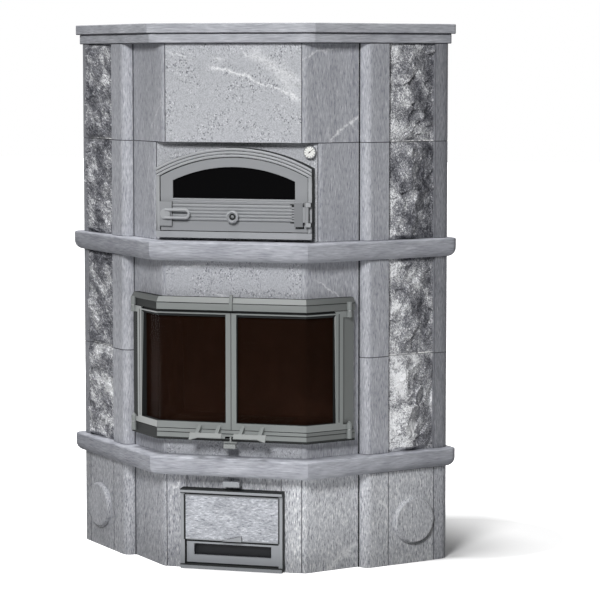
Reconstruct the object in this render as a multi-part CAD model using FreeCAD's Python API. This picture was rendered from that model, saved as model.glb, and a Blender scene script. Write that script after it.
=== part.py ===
# Corner masonry heater: soapstone shell, bay fire door, bake oven above it, ash door below it.
# Millimetres, +Z up, the front towards -Y. The origin is on the floor under the middle of the stone body.
import FreeCAD, Part
import math
import os

from FreeCAD import Rotation, Vector

os.makedirs("parts", exist_ok=True)

# Stone body in plan. Runs go along a 45 degree side from its sharp front corner.
front_width = 480.0
recess_run = 206.0
column_run = 92.0
panel_run = 179.0
end_run = 63.0
column_step = 37.0
back_depth = 800.0
slab = 60.0
corner_round = 25.0
corner_return = 11.0
column_nose = 28.0
end_round = 30.0
split_setback = 4.0
stone_arris = 1.5

# Stone courses, from the floor up
base_height = 315.0
shelf_thick = 62.0
course_height = 320.0
cap_thick = 32.0
base_slab_thick = 20.0

# Shelves and cap slabs: how far they stand out past the front, the column flanks and the rear
shelf_front = 65.0
shelf_side = 27.0
shelf_rear = 15.0
shelf_end_round = 25.0
shelf_bullnose = 29.0
shelf_arris = 6.0
cap_lower_front = 20.0
cap_lower_side = 3.0
cap_upper_front = 30.0
cap_upper_side = 13.0
cap_corner_round = 12.0
cap_arris = 3.0

# Fits
run_gap = 0.05
slide_gap = 0.3
leaf_gap = 2.0
cut_over = 5.0

# Bay fire door
fire_sill_high = 53.0
fire_lintel_high = 119.0
fire_frame_proud = 30.0
fire_frame_run = 171.0
fire_top_rail = 41.0
fire_bottom_rail = 36.0
fire_top_bevel_high = 18.0
fire_top_bevel_deep = 10.0
fire_stile_run = 43.0
fire_stile_proud = 22.0
fire_flange = 18.0
fire_lip_width = 12.0
fire_lip_deep = 4.0
leaf_deep = 18.0
leaf_top_rail = 19.0
leaf_recess = 9.0
leaf_bead_high = 4.5
leaf_bead_drop = 6.5
leaf_bottom_rail = 22.0
leaf_hinge_stile = 28.0
leaf_meeting_stile = 17.0
leaf_meeting_gap = 1.0
fire_glass_thick = 4.0
fire_glass_lap = 10.0
fire_seal_width = 7.0
hinge_barrel_radius = 9.0
hinge_axis_out = 33.0
hinge_axis_run = 148.0
hinge_pin_radius = 5.0
hinge_fixed_barrel = 28.0
hinge_leaf_barrel = 20.0
hinge_tip = 9.0
hinge_tip_blunt = 2.0
hinge_pin_end = 3.0
hinge_strap_thick = 6.0
fire_handle_inner = 20.0
fire_handle_length = 108.0
fire_handle_reach = 50.0
fire_handle_thick = 5.0
fire_handle_high = 17.0
fire_handle_tilt = 35.0
fire_handle_drop = 20.0
fire_handle_post = 12.0
fire_handle_flare = 10.0
fire_handle_tip = 28.0
fire_handle_post_high = 12.0
fire_handle_post_lift = 2.0
fire_handle_post_inset = 14.0
handle_post_shares = (0.85, 0.2)
catch_width = 11.0
catch_thick = 6.0
catch_rise = 10.0
fire_slider_travel = 18.0
fire_slider_plate_width = 47.0
fire_slider_plate_thick = 4.0
fire_slider_knob_width = 40.0
fire_slider_knob_high = 13.0
fire_slider_knob_deep = 18.0
fire_slider_stem = 5.0
fire_slider_step = 3.0
fire_slider_tongue_deep = 15.0
fire_slider_tongue_high = 6.0
fire_slider_rise = 9.0
fire_slider_plate_gap = 3.0

# Bake oven
oven_niche = 41.0
oven_niche_corner = 9.0
oven_niche_round = 20.0
oven_frame_face = 2.0
oven_side_gap = 10.0
oven_sill_lift = 10.0
oven_sill_high = 21.0
oven_stile_width = 12.5
oven_arch_radius = 553.0
oven_arch_band = 30.5
oven_crown_drop = 16.0
oven_reed_count = 3
oven_reed_proud = 3.5
oven_arch_sweep = 70.0
oven_leaf_face = 6.0
oven_leaf_thick = 25.0
oven_glass_back = 8.0
oven_glass_side = 42.0
oven_glass_lift = 138.0
oven_glass_band = 30.0
oven_glass_thick = 4.0
oven_glass_lap = 8.0
oven_rib_lift = 66.0
oven_rib_pitch = 10.8
oven_rib_count = 5
oven_rib_radius = 6.2
oven_rib_sink = 3.4
oven_bead_high = 13.0
oven_bead_proud = 2.5
oven_mouth_side = 30.0
oven_mouth_inset = 17.0
oven_seal_width = 10.0
oven_hinge_block_width = 33.0
oven_hinge_block_lift = 66.0
oven_hinge_block_length = 50.0
oven_hinge_block_proud = 16.0
oven_hinge_lug = 14.0
oven_hinge_out = 12.0
oven_hinge_radius = 7.0
oven_hinge_pin_radius = 3.5
oven_fin_count = 6
oven_fin_length = 21.0
oven_fin_high = 6.0
oven_fin_proud = 4.0
oven_latch_width = 41.0
oven_latch_lift = 48.0
oven_latch_block = 80.0
oven_latch_proud = 10.0
oven_latch_boss = 17.0
oven_latch_boss_thick = 8.0
oven_latch_spindle = 6.0
oven_latch_bar = 4.5
oven_latch_bar_gap = 25.5
oven_latch_length = 85.0
oven_retainer_lap = 2.0
oven_retainer_thick = 4.0
oven_groove = 2.0
oven_knob_radius = 20.5
oven_knob_deep = 14.0
oven_knob_stem = 6.0
oven_knob_standoff = 8.0
oven_knob_dish = 10.0
oven_knob_hub = 5.0
oven_knob_lift = 15.0

# Dial thermometer on the niche stone
dial_side = 24.0
dial_drop = 29.0
dial_radius = 20.5
dial_deep = 16.0
dial_rim = 2.0
dial_well = 4.0
dial_plate = 1.0
needle_length = 14.0
needle_tail = 6.0
needle_width = 1.6
needle_thick = 0.8
needle_hub = 2.2
needle_pivot = 1.0
needle_angle = 50.0
needle_clear = 1.0

# Ash door
ash_pier = 68.0
ash_frame_low = 5.0
ash_lintel_high = 46.0
ash_frame_proud = 30.0
ash_rail = 14.0
ash_rail_proud = 8.0
ash_stile = 13.0
ash_sill = 15.0
ash_mouth_side = 12.0
flap_low = 100.0
flap_gap = 5.0
flap_deep = 22.0
flap_face_back = 3.0
flap_steel = 3.0
flap_lip = 4.0
flap_pin_radius = 3.0
flap_pin_length = 7.0
flap_pull_width = 66.0
flap_pull_high = 19.0
flap_pull_thick = 6.0
flap_pull_shift = 2.0
flap_axis_drop = 3.5
drawer_front_low = 23.0
drawer_front_top_gap = 3.0
drawer_front_side_gap = 3.0
drawer_front_thick = 9.0
drawer_front_back = 13.0
drawer_slot_side = 41.0
drawer_slot_low = 48.0
drawer_slot_high = 86.0
drawer_recess = 20.0
drawer_wall = 2.0
drawer_length = 320.0
drawer_skid = 12.0
drawer_tray_high = 58.0
ash_slider_width = 56.0
ash_slider_high = 18.0
ash_slider_deep = 20.0
ash_slider_drop = 35.0
ash_slider_stand = 16.0
ash_slider_travel = 15.0
ash_slider_tongue = 12.0
ash_slider_tongue_high = 8.0
ash_slider_tongue_deep = 26.0

# Round soot plugs in the base side panels
plug_radius = 78.0
plug_high = 144.0
plug_shift = 8.0
plug_proud = 14.0
plug_round = 7.0
plug_neck_radius = 60.0
plug_neck_deep = 45.0

# Masonry core, clear of the shell by an expansion gap
core_gap = 5.0
core_half = 306.0
core_wall = 60.0
core_depth = 440.0
hearth_thick = 60.0
throat_thick = 80.0
throat_gap = 60.0
oven_floor_thick = 70.0
oven_wall_high = 220.0
vault_thick = 100.0
vault_rise = 60.0
vault_smoke_gap = 70.0
grate_half = 120.0
grate_length = 180.0
grate_front = 190.0
grate_flange = 6.0
grate_border = 12.0
grate_bar = 10.0
grate_bar_gap = 9.0
grate_rib_deep = 14.0
pit_wall = 50.0
pit_depth = 420.0

# Flue outlet in the back wall
flue_radius = 90.0
flue_wall = 4.0
flue_lift = 143.0
flue_stub = 45.0

# Levels and runs that follow from the sizes above
half_front = front_width / 2
cos45 = math.sqrt(0.5)
column_end = recess_run + column_run
panel_end = column_end + panel_run
rear_run = panel_end + end_run
inner_out = column_step - slab
shell_line = half_front - slab * math.sqrt(2)
shelf_low = base_height
middle_low = shelf_low + shelf_thick
middle_joint = middle_low + course_height
middle_high = middle_joint + course_height
upper_low = middle_high + shelf_thick
upper_joint = upper_low + course_height
upper_high = upper_joint + course_height
origin_depth = back_depth / 2
courses = ((0.0, base_height), (middle_low, middle_joint), (middle_joint, middle_high),
           (upper_low, upper_joint), (upper_joint, upper_high))
to_front = Vector(0, -1, 0)
fire_frame_low = middle_low + fire_sill_high
fire_frame_high = middle_high - fire_lintel_high
oven_crown = upper_joint - oven_crown_drop
oven_glass_low = upper_low + oven_glass_lift
oven_rib_low = upper_low + oven_rib_lift
oven_hinge_block_low = upper_low + oven_hinge_block_lift
oven_hinge_block_high = oven_hinge_block_low + oven_hinge_block_length
oven_latch_low = upper_low + oven_latch_lift
oven_latch_high = oven_latch_low + oven_latch_block
dial_high = upper_joint - dial_drop
ash_frame_high = base_height - ash_lintel_high
ash_half_width = half_front - ash_pier
ash_mouth_half = ash_half_width - ash_mouth_side
drawer_slot_half = ash_half_width - drawer_slot_side
ash_slider_low = base_height - ash_slider_drop
flue_high = middle_low + flue_lift


def bay(along, out):
    """Plan point on the right-hand side: along it from its front corner and out from the recessed panels."""
    return Vector(half_front + (along + out) * cos45, (along - out) * cos45, 0)


def bay_corner(out):
    """Front corner of the bay line that stands out from the recessed panels by this much."""
    return Vector(half_front + out * (math.sqrt(2) - 1), -out, 0)


def spot(x, y):
    return Vector(x, y, 0)


def outline(corners):
    """Closed face through plan points, each a point or a (point, radius) pair for a rounded corner."""
    pairs = [corner if isinstance(corner, tuple) else (corner, 0.0) for corner in corners]
    edges = []
    runs = []
    for index, (point, radius) in enumerate(pairs):
        before = (pairs[index - 1][0] - point).normalize()
        after = (pairs[(index + 1) % len(pairs)][0] - point).normalize()
        if radius == 0:
            runs.append((point, None, point))
            continue
        half_angle = before.getAngle(after) / 2
        tangent = radius / math.tan(half_angle)
        middle = (before + after).normalize() * (radius / math.sin(half_angle) - radius)
        runs.append((point + before * tangent, point + middle, point + after * tangent))
    for index, (start, middle, end) in enumerate(runs):
        if middle is not None:
            edges.append(Part.Arc(start, middle, end).toShape())
        edges.append(Part.LineSegment(end, runs[(index + 1) % len(runs)][0]).toShape())
    return Part.Face(Part.Wire(edges))


def prism(corners, low, high):
    body = outline(corners).extrude(Vector(0, 0, high - low))
    body.translate(Vector(0, 0, low))
    return body


def is_upright(edge):
    first, last = edge.Vertexes[0].Point, edge.Vertexes[-1].Point
    return math.hypot(first.x - last.x, first.y - last.y) < run_gap


def stone(corners, low, high):
    """Sawn stone with its sharp edges broken by the small arris that shows as the joint."""
    body = prism(corners, low, high)
    sharp = [corner for corner in corners if not isinstance(corner, tuple)]
    broken = []
    for edge in body.Edges:
        foot = spot(edge.Vertexes[0].X, edge.Vertexes[0].Y)
        if not is_upright(edge) or any((foot - corner).Length < run_gap for corner in sharp):
            broken.append(edge)
    return body.makeChamfer(stone_arris, broken)


def block(x_low, x_high, y_low, y_high, z_low, z_high):
    return Part.makeBox(x_high - x_low, y_high - y_low, z_high - z_low, Vector(x_low, y_low, z_low))


def rectangle(x_low, x_high, y_low, y_high):
    return [spot(x_low, y_low), spot(x_high, y_low), spot(x_high, y_high), spot(x_low, y_high)]


def side_rectangle(run_low, run_high, out_low, out_high):
    return [bay(run_low, out_low), bay(run_low, out_high), bay(run_high, out_high), bay(run_high, out_low)]


def bay_outline(out_low, out_high, run):
    """Plan of a bar that follows the three sides of the bay between two lines out from the panels."""
    right = [bay_corner(out_high), bay(run, out_high), bay(run, out_low), bay_corner(out_low)]
    return right + [spot(-point.x, point.y) for point in reversed(right)]


def bay_band(out_low, out_high, run, low, high):
    return prism(bay_outline(out_low, out_high, run), low, high)


def bay_taper(out_low, out_foot, out_head, run, low, high):
    """Such a bar whose outer face leans back towards its top."""
    rings = []
    for out, level in ((out_foot, low), (out_head, high)):
        points = [point + Vector(0, 0, level) for point in bay_outline(out_low, out, run)]
        rings.append(Part.makePolygon(points + points[:1]))
    return Part.makeLoft(rings, True, True)


def half_band(out_low, out_high, inner, run, low, high):
    """The right-hand half of such a bar, from near the middle line to its end on the side."""
    points = [spot(inner, -out_high), bay_corner(out_high), bay(run, out_high), bay(run, out_low),
              bay_corner(out_low), spot(inner, -out_low)]
    return prism(points, low, high)


def mirrored(shape):
    return shape.mirror(Vector(0, 0, 0), Vector(1, 0, 0))


def with_mirror(shapes):
    return list(shapes) + [mirrored(shape) for shape in shapes]


def joined(shapes):
    return shapes[0].fuse(shapes[1:]).removeSplitter() if len(shapes) > 1 else shapes[0]


def turned(profile):
    """Solid of revolution about Z from (radius, height) points."""
    points = [Vector(radius, 0, height) for radius, height in profile]
    face = Part.Face(Part.makePolygon(points + points[:1]))
    return face.revolve(Vector(0, 0, 0), Vector(0, 0, 1), 360)


def facing(shape, place, direction):
    """Turns +Z of a shape to a direction and moves its origin to a place."""
    placed = shape.copy()
    turn = FreeCAD.Placement(place, Rotation(Vector(0, 0, 1), direction))
    placed.Placement = turn.multiply(shape.Placement)
    return placed


def rod(radius, start, end):
    return Part.makeCylinder(radius, (end - start).Length, start, end - start)


def across(x_low, x_high, y_z_points):
    """Bar of constant section along X from points in the plane of depth and height."""
    points = [Vector(x_low, y, z) for y, z in y_z_points]
    return Part.Face(Part.makePolygon(points + points[:1])).extrude(Vector(x_high - x_low, 0, 0))


def save(node, shapes):
    solids = [solid for shape in shapes for solid in shape.Solids]
    for solid in solids:
        if not solid.isValid() or solid.Volume <= 0:
            raise ValueError(node + " has a bad solid")
    body = Part.makeCompound(solids) if len(solids) > 1 else solids[0].copy()
    body.translate(Vector(0, -origin_depth, 0))
    body.exportStep("parts/" + node + ".step")


# Upright stones of the sides, course by course
def side_stones():
    columns, ends, panels, discs = [], [], [], []
    for number, (low, high) in enumerate(courses):
        nose = [bay(recess_run, inner_out), (bay(recess_run, column_step), column_nose),
                bay(column_end, column_step), bay(column_end, inner_out)]
        columns.append(stone(nose, low, high))
        end = [bay(panel_end, inner_out), bay(panel_end, column_step),
               (bay(rear_run, column_step), end_round), bay(rear_run, inner_out)]
        ends.append(stone(end, low, high))
        if number == 0:
            panel = stone(side_rectangle(column_end, panel_end, inner_out, column_step), low, high)
            hole = rod(plug_neck_radius + slide_gap, plug_centre(column_step + cut_over),
                       plug_centre(inner_out - cut_over))
            discs.append(panel.cut(hole))
        else:
            face = column_step - split_setback
            panels.append(stone(side_rectangle(column_end, panel_end, inner_out, face), low, high))
    save("column_stones", with_mirror(columns))
    save("end_stones", with_mirror(ends))
    save("disc_panels", with_mirror(discs))
    save("split_face_panels", with_mirror(panels))


def plug_centre(out):
    middle = bay((column_end + panel_end) / 2 + plug_shift, out)
    return Vector(middle.x, middle.y, plug_high)


# Angled stones with the rounded front corner, for a front plane set back by some depth
def angled_stone(setback, joint, rounding, low, high):
    return stone([spot(joint, setback), (spot(half_front + setback, setback), rounding), bay(recess_run, 0),
                  bay(recess_run, -slab), spot(joint, joint - shell_line)], low, high)


front_joint = half_front - corner_return
niche_joint = half_front + oven_niche - oven_niche_corner
oven_half_width = niche_joint - oven_side_gap
oven_mouth_half = oven_half_width - oven_mouth_side
dial_across = niche_joint - dial_side
fire_opening_low = fire_frame_low + fire_flange
fire_opening_high = fire_frame_high - fire_flange
fire_opening_run = fire_frame_run - fire_flange


def front_stones():
    lintel = stone(rectangle(-ash_mouth_half, ash_mouth_half, 0, slab),
                   ash_frame_high - ash_rail, base_height)
    slot_half = ash_slider_travel + ash_slider_tongue / 2 + slide_gap
    slot_low = ash_slider_low + (ash_slider_high - ash_slider_tongue_high) / 2 - slide_gap
    slot_high = slot_low + ash_slider_tongue_high + 2 * slide_gap
    slot = block(-slot_half, slot_half, -cut_over, ash_slider_tongue_deep + slide_gap, slot_low, slot_high)
    pier = stone(rectangle(ash_mouth_half, front_joint, 0, slab), 0, base_height)
    save("base_front_stones", [lintel.cut(slot), pier, mirrored(pier)])
    save("base_angled_stones", with_mirror([angled_stone(0, front_joint, corner_round, 0, base_height)]))
    front = rectangle(-front_joint, front_joint, 0, slab)
    save("fire_sill_stone", [stone(front, middle_low, fire_opening_low)])
    save("fire_lintel_stone", [stone(front, fire_opening_high, middle_high)])
    save("upper_front_stone", [stone(front, upper_joint, upper_high)])
    surround = [angled_stone(0, front_joint, corner_round, middle_low, fire_opening_low),
                prism(side_rectangle(fire_opening_run, recess_run, -slab, 0), fire_opening_low - stone_arris,
                      fire_opening_high + stone_arris),
                angled_stone(0, front_joint, corner_round, fire_opening_high, middle_high)]
    save("fire_surround_stones", with_mirror([joined(surround)]))
    save("upper_angled_stones",
         with_mirror([angled_stone(0, front_joint, corner_round, upper_joint, upper_high)]))
    save("oven_angled_stones",
         with_mirror([angled_stone(oven_niche, niche_joint, oven_niche_round, upper_low, upper_joint)]))
    niche = stone(rectangle(-niche_joint, niche_joint, oven_niche, oven_niche + slab), upper_low, upper_joint)
    mouth = arch_prism(oven_mouth_half, mouth_low, arch_inner - oven_mouth_inset,
                       oven_niche - cut_over, oven_niche + slab + cut_over)
    save("oven_niche_stone", [niche.cut(mouth)])


# Oven levels: all arches share one centre
arch_inner = oven_arch_radius - oven_arch_band
arch_centre = oven_crown - oven_arch_radius
sill_low = upper_low + oven_sill_lift
sill_high = sill_low + oven_sill_high
mouth_low = sill_high + leaf_gap
leaf_half = oven_half_width - oven_stile_width - leaf_gap
oven_glass_half = leaf_half - oven_glass_side
leaf_low = sill_high + leaf_gap
leaf_radius = arch_inner - leaf_gap
leaf_back = oven_leaf_face + oven_leaf_thick


def arch_prism(half, low, radius, front, back):
    """Upright plate with a flat foot and an arched head, between two depths."""
    spring = arch_centre + math.sqrt(radius ** 2 - half ** 2)
    corners = [Vector(-half, front, spring), Vector(-half, front, low), Vector(half, front, low),
               Vector(half, front, spring)]
    crown = Vector(0, front, arch_centre + radius)
    edges = [Part.LineSegment(start, end).toShape() for start, end in zip(corners, corners[1:])]
    edges.append(Part.Arc(corners[-1], crown, corners[0]).toShape())
    return Part.Face(Part.Wire(edges)).extrude(Vector(0, back - front, 0))


# Shelves: front stone and two side stones, mitred at the front corners
def shelf(node, low):
    high = low + shelf_thick
    out = column_step + shelf_side
    corner = spot(half_front + out * math.sqrt(2) - shelf_front, -shelf_front)
    mitre_lean = math.tan(math.radians(22.5))
    inner = spot(corner.x - (shelf_front + slab) * mitre_lean, slab)
    front = prism([spot(-corner.x, corner.y), corner, inner, spot(-inner.x, inner.y)], low, high)
    end = rear_run + shelf_rear
    side = prism([corner, (bay(end, out), shelf_end_round), bay(end, inner_out),
                  bay(rear_run - slab, inner_out), inner], low, high)
    front = rounded_rim(front, [corner, spot(-corner.x, corner.y)], low, high)
    side = rounded_rim(side, [corner, bay(end, out), bay(end, inner_out)], low, high)
    save(node, [front, side, mirrored(side)])


def rounded_rim(body, rim, low, high):
    """Rounds the long edges over a line of plan points: the deep bullnose below, the small round above."""
    for level, radius in ((low, shelf_bullnose), (high, shelf_arris)):
        chosen = []
        for edge in body.Edges:
            box = edge.BoundBox
            middle = edge.valueAt((edge.FirstParameter + edge.LastParameter) / 2)
            near = min(distance_to_line(middle, rim[i], rim[i + 1]) for i in range(len(rim) - 1))
            is_level = abs(box.ZMin - level) < run_gap and abs(box.ZMax - level) < run_gap
            if is_level and near < shelf_end_round / 2:
                chosen.append(edge)
        body = body.makeFillet(radius, chosen)
    return body


def distance_to_line(point, start, end):
    flat = spot(point.x, point.y)
    length = (end - start).Length
    share = max(0.0, min(1.0, (flat - start).dot(end - start) / length ** 2))
    return (flat - start - (end - start) * share).Length


def cap(node, low, front, side):
    out = column_step + side
    corner = spot(half_front + out * math.sqrt(2) - front, -front)
    rear = rear_run + side
    back = back_depth + side
    right = [(corner, cap_corner_round), (bay(rear, out), cap_corner_round),
             (bay(rear, rear - back / cos45), cap_corner_round)]
    left = [(spot(-point.x, point.y), radius) for point, radius in reversed(right)]
    body = prism(right + left, low, low + cap_thick)
    level = [edge for edge in body.Edges if not is_upright(edge)]
    save(node, [body.makeFillet(cap_arris, level)])


# Rear of the shell: two slanted walls and the flat back with the flue hole, in courses
def rear_stones():
    walls, backs = [], []
    inside = back_depth - slab
    levels = [0.0, middle_low, middle_joint, upper_low, upper_joint, upper_high]
    flue = rod(flue_radius + slide_gap, Vector(0, inside - cut_over, flue_high),
               Vector(0, back_depth + cut_over, flue_high))
    edge = bay(rear_run, rear_run - inside / cos45)
    tip = bay(rear_run, rear_run - back_depth / cos45)
    for low, high in zip(levels, levels[1:]):
        walls.append(stone([bay(rear_run, inner_out), edge,
                            bay(rear_run - slab, rear_run - slab - inside / cos45),
                            bay(rear_run - slab, inner_out)], low, high))
        back = stone([spot(-edge.x, edge.y), edge, tip, spot(-tip.x, tip.y)], low, high)
        backs.append(back.cut(flue))
    save("rear_walls", with_mirror(walls))
    save("back_wall", backs)
    tube = rod(flue_radius, Vector(0, inside, flue_high), Vector(0, back_depth + flue_stub, flue_high))
    bore = rod(flue_radius - flue_wall, Vector(0, inside - cut_over, flue_high),
               Vector(0, back_depth + flue_stub + cut_over, flue_high))
    save("flue_collar", [tube.cut(bore)])


# Masonry core: ash pit, hearth, firebox, throat, oven
hearth_high = fire_opening_low
hearth_low = hearth_high - hearth_thick
oven_floor_high = sill_high
throat_top = oven_floor_high - oven_floor_thick
firebox_top = throat_top - throat_thick
oven_wall_top = oven_floor_high + oven_wall_high
core_outer = core_half + core_wall
core_back = core_depth + core_wall
core_front = slab + core_gap
core_line = shell_line - core_gap * math.sqrt(2)


def core_plan(front, back):
    """Slab over the whole core from one depth to another, cut back along the angled stones."""
    right = [spot(front + core_line, front), spot(core_outer, core_outer - core_line), spot(core_outer, back)]
    return right + [spot(-point.x, point.y) for point in reversed(right)]


def core_side():
    return [spot(core_half, core_half - core_line), spot(core_outer, core_outer - core_line),
            spot(core_outer, core_back), spot(core_half, core_back)]


def core():
    save("firebox_sides", with_mirror([prism(core_side(), hearth_high, firebox_top)]))
    save("core_back", [block(-core_half, core_half, core_depth, core_back, hearth_high, oven_wall_top)])
    throat_back = core_depth - throat_gap
    slabs = (("firebox_throat", core_front, firebox_top, throat_top),
             ("oven_floor", oven_niche + core_front, throat_top, oven_floor_high))
    for node, front, low, high in slabs:
        flank = block(core_half, core_outer, throat_back, core_back, low, high)
        save(node, [prism(core_plan(front, throat_back), low, high)] + with_mirror([flank]))
    save("oven_walls", with_mirror([prism(core_side(), oven_floor_high, oven_wall_top)]))
    vault_front = core_outer - core_line + vault_smoke_gap
    vault_top = oven_wall_top + vault_thick
    radius = (core_half ** 2 + vault_rise ** 2) / (2 * vault_rise)
    centre = oven_wall_top + vault_rise - radius
    arch = rod(radius, Vector(0, vault_front - cut_over, centre), Vector(0, core_back + cut_over, centre))
    vault = block(-core_outer, core_outer, vault_front, core_back, oven_wall_top, vault_top)
    save("oven_vault", [vault.cut(arch)])


def hearth():
    hole_half = grate_half - grate_border
    hole_front = grate_front + grate_border
    hole_back = grate_front + grate_length - grate_border
    floor = prism(core_plan(core_front, core_back), hearth_low, hearth_high)
    front = block(-core_outer, core_outer, core_front, hole_front, hearth_low, hearth_high)
    cheek = block(hole_half, core_outer, hole_front, hole_back, hearth_low, hearth_high)
    back = block(-core_outer, core_outer, hole_back, core_back, hearth_low, hearth_high)
    save("hearth_floor", [floor.common(part) for part in [front, back] + with_mirror([cheek])])
    plate = block(-grate_half, grate_half, grate_front, grate_front + grate_length,
                  hearth_high, hearth_high + grate_flange)
    ribs = block(-hole_half + slide_gap, hole_half - slide_gap, hole_front + slide_gap, hole_back - slide_gap,
                 hearth_high - grate_rib_deep, hearth_high)
    grate = plate.fuse(ribs).removeSplitter()
    pitch = grate_bar + grate_bar_gap
    count = int((2 * hole_half - grate_bar) / pitch)
    for number in range(count):
        left = (number - count / 2) * pitch + grate_bar / 2
        grate = grate.cut(block(left, left + grate_bar_gap, hole_front + grate_bar, hole_back - grate_bar,
                                hearth_high - grate_rib_deep - cut_over,
                                hearth_high + grate_flange + cut_over))
    save("grate", [grate])
    cheek = block(ash_mouth_half, ash_mouth_half + pit_wall, slab, pit_depth, base_slab_thick, hearth_low)
    end = block(-ash_mouth_half - pit_wall, ash_mouth_half + pit_wall, pit_depth, pit_depth + pit_wall,
                base_slab_thick, hearth_low)
    save("ash_pit_walls", with_mirror([cheek]) + [end])
    inside = back_depth - slab
    foot = [spot(shell_line + slab, slab), bay(rear_run - slab, -slab),
            bay(rear_run - slab, rear_run - slab - inside / cos45)]
    plan = foot + [spot(-point.x, point.y) for point in reversed(foot)]
    save("base_slab", [prism(plan, 0, base_slab_thick)])


# Bay fire door: fixed frame, two bent leaves, their glass, seals, handles and hinges
rail_low = fire_frame_high - fire_top_rail
rail_high = fire_frame_low + fire_bottom_rail
leaf_run = fire_frame_run - fire_stile_run - leaf_gap
fire_leaf_low = rail_high + leaf_gap
fire_leaf_high = rail_low - leaf_gap
leaf_inner = fire_frame_proud - leaf_deep
pin_foot = rail_high - hinge_fixed_barrel + hinge_pin_end
pin_head = rail_low + hinge_fixed_barrel - hinge_pin_end
lower_knuckle_high = fire_leaf_low + hinge_leaf_barrel - hinge_pin_end
upper_knuckle_low = fire_leaf_high - hinge_leaf_barrel


def hinge_place(level):
    return bay(hinge_axis_run, hinge_axis_out) + Vector(0, 0, level)


def fire_frame():
    bevel_low = fire_frame_high - fire_top_bevel_high
    stile = prism(side_rectangle(fire_frame_run - fire_stile_run, fire_frame_run, 0, fire_stile_proud),
                  rail_high, rail_low)
    lip_run = fire_frame_run - fire_stile_run
    lip = prism(side_rectangle(lip_run - fire_lip_width, lip_run, 0, fire_lip_deep), rail_high, rail_low)
    barrels = [rod(hinge_barrel_radius, hinge_place(rail_low), hinge_place(rail_low + hinge_fixed_barrel)),
               rod(hinge_barrel_radius, hinge_place(rail_high - hinge_fixed_barrel), hinge_place(rail_high))]
    frame = joined([bay_band(0, fire_frame_proud, fire_frame_run, rail_low, bevel_low),
                    bay_taper(0, fire_frame_proud, fire_frame_proud - fire_top_bevel_deep, fire_frame_run,
                              bevel_low, fire_frame_high),
                    bay_band(0, fire_frame_proud, fire_frame_run, fire_frame_low, rail_high),
                    bay_band(0, fire_lip_deep, lip_run, rail_low - fire_lip_width, rail_low),
                    bay_band(0, fire_lip_deep, lip_run, rail_high, rail_high + fire_lip_width)]
                   + with_mirror([stile, lip] + barrels))
    slot_half = fire_slider_travel + fire_slider_stem / 2 + slide_gap
    slot_low = fire_frame_low + fire_slider_rise - slide_gap
    slot_back = -fire_frame_proud + fire_slider_tongue_deep + slide_gap
    slot = block(-slot_half, slot_half, -fire_frame_proud - cut_over, slot_back,
                 slot_low, slot_low + fire_slider_tongue_high + 2 * slide_gap)
    bore_radius = hinge_pin_radius + run_gap
    bores = [rod(bore_radius, hinge_place(pin_foot), hinge_place(rail_high + cut_over)),
             rod(bore_radius, hinge_place(rail_low - cut_over), hinge_place(pin_head))]
    save("fire_door_frame", [frame.cut([slot] + with_mirror(bores))])
    pins = [rod(hinge_pin_radius, hinge_place(pin_foot), hinge_place(lower_knuckle_high)),
            rod(hinge_pin_radius, hinge_place(upper_knuckle_low), hinge_place(pin_head))]
    save("fire_hinge_pins", with_mirror(pins))


def fire_leaves():
    hinge_edge = leaf_run - leaf_hinge_stile
    meeting_edge = leaf_meeting_gap + leaf_meeting_stile
    strap_in = fire_frame_proud - hinge_strap_thick
    knuckles = []
    for low, high in ((fire_leaf_low, lower_knuckle_high), (upper_knuckle_low, fire_leaf_high)):
        knuckles.append(rod(hinge_barrel_radius, hinge_place(low), hinge_place(high)))
        strap = side_rectangle(hinge_edge, hinge_axis_run, strap_in, fire_frame_proud)
        knuckles.append(prism(strap, low, high))
    tip = Part.makeCone(hinge_barrel_radius, hinge_tip_blunt, hinge_tip, hinge_place(lower_knuckle_high))
    bead_top = fire_leaf_high - leaf_bead_drop
    leaf = joined([half_band(leaf_inner, fire_frame_proud - leaf_recess, leaf_meeting_gap, leaf_run,
                             fire_leaf_high - leaf_top_rail, fire_leaf_high),
                   half_band(leaf_inner, fire_frame_proud, leaf_meeting_gap, leaf_run,
                             bead_top - leaf_bead_high, bead_top),
                   half_band(leaf_inner, fire_frame_proud, leaf_meeting_gap, leaf_run,
                             fire_leaf_low, fire_leaf_low + leaf_bottom_rail),
                   prism(side_rectangle(hinge_edge, leaf_run, leaf_inner, fire_frame_proud),
                         fire_leaf_low, fire_leaf_high),
                   block(leaf_meeting_gap, meeting_edge, -fire_frame_proud, -leaf_inner,
                         fire_leaf_low, bead_top), tip] + knuckles)
    bore_radius = hinge_pin_radius + run_gap
    bores = ((fire_leaf_low - cut_over, lower_knuckle_high), (upper_knuckle_low, fire_leaf_high + cut_over))
    leaf = leaf.cut([rod(bore_radius, hinge_place(low), hinge_place(high)) for low, high in bores])
    glass = half_band(leaf_inner - fire_glass_thick, leaf_inner, meeting_edge - fire_glass_lap,
                      hinge_edge + fire_glass_lap, fire_leaf_low + leaf_bottom_rail - fire_glass_lap,
                      fire_leaf_high - leaf_top_rail + fire_glass_lap)
    seal_in = fire_lip_deep + slide_gap
    seal = joined([half_band(seal_in, leaf_inner, leaf_meeting_gap, leaf_run,
                             fire_leaf_high - fire_seal_width, fire_leaf_high),
                   half_band(seal_in, leaf_inner, leaf_meeting_gap, leaf_run,
                             fire_leaf_low, fire_leaf_low + fire_seal_width),
                   prism(side_rectangle(leaf_run - fire_seal_width, leaf_run, seal_in, leaf_inner),
                         fire_leaf_low, fire_leaf_high)])
    pieces = (("fire_door", leaf), ("fire_glass", glass), ("fire_seal", seal), ("fire_handle", fire_handle()))
    for name, shape in pieces:
        save(name + "_right", [shape])
        save(name + "_left", [mirrored(shape)])


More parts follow.
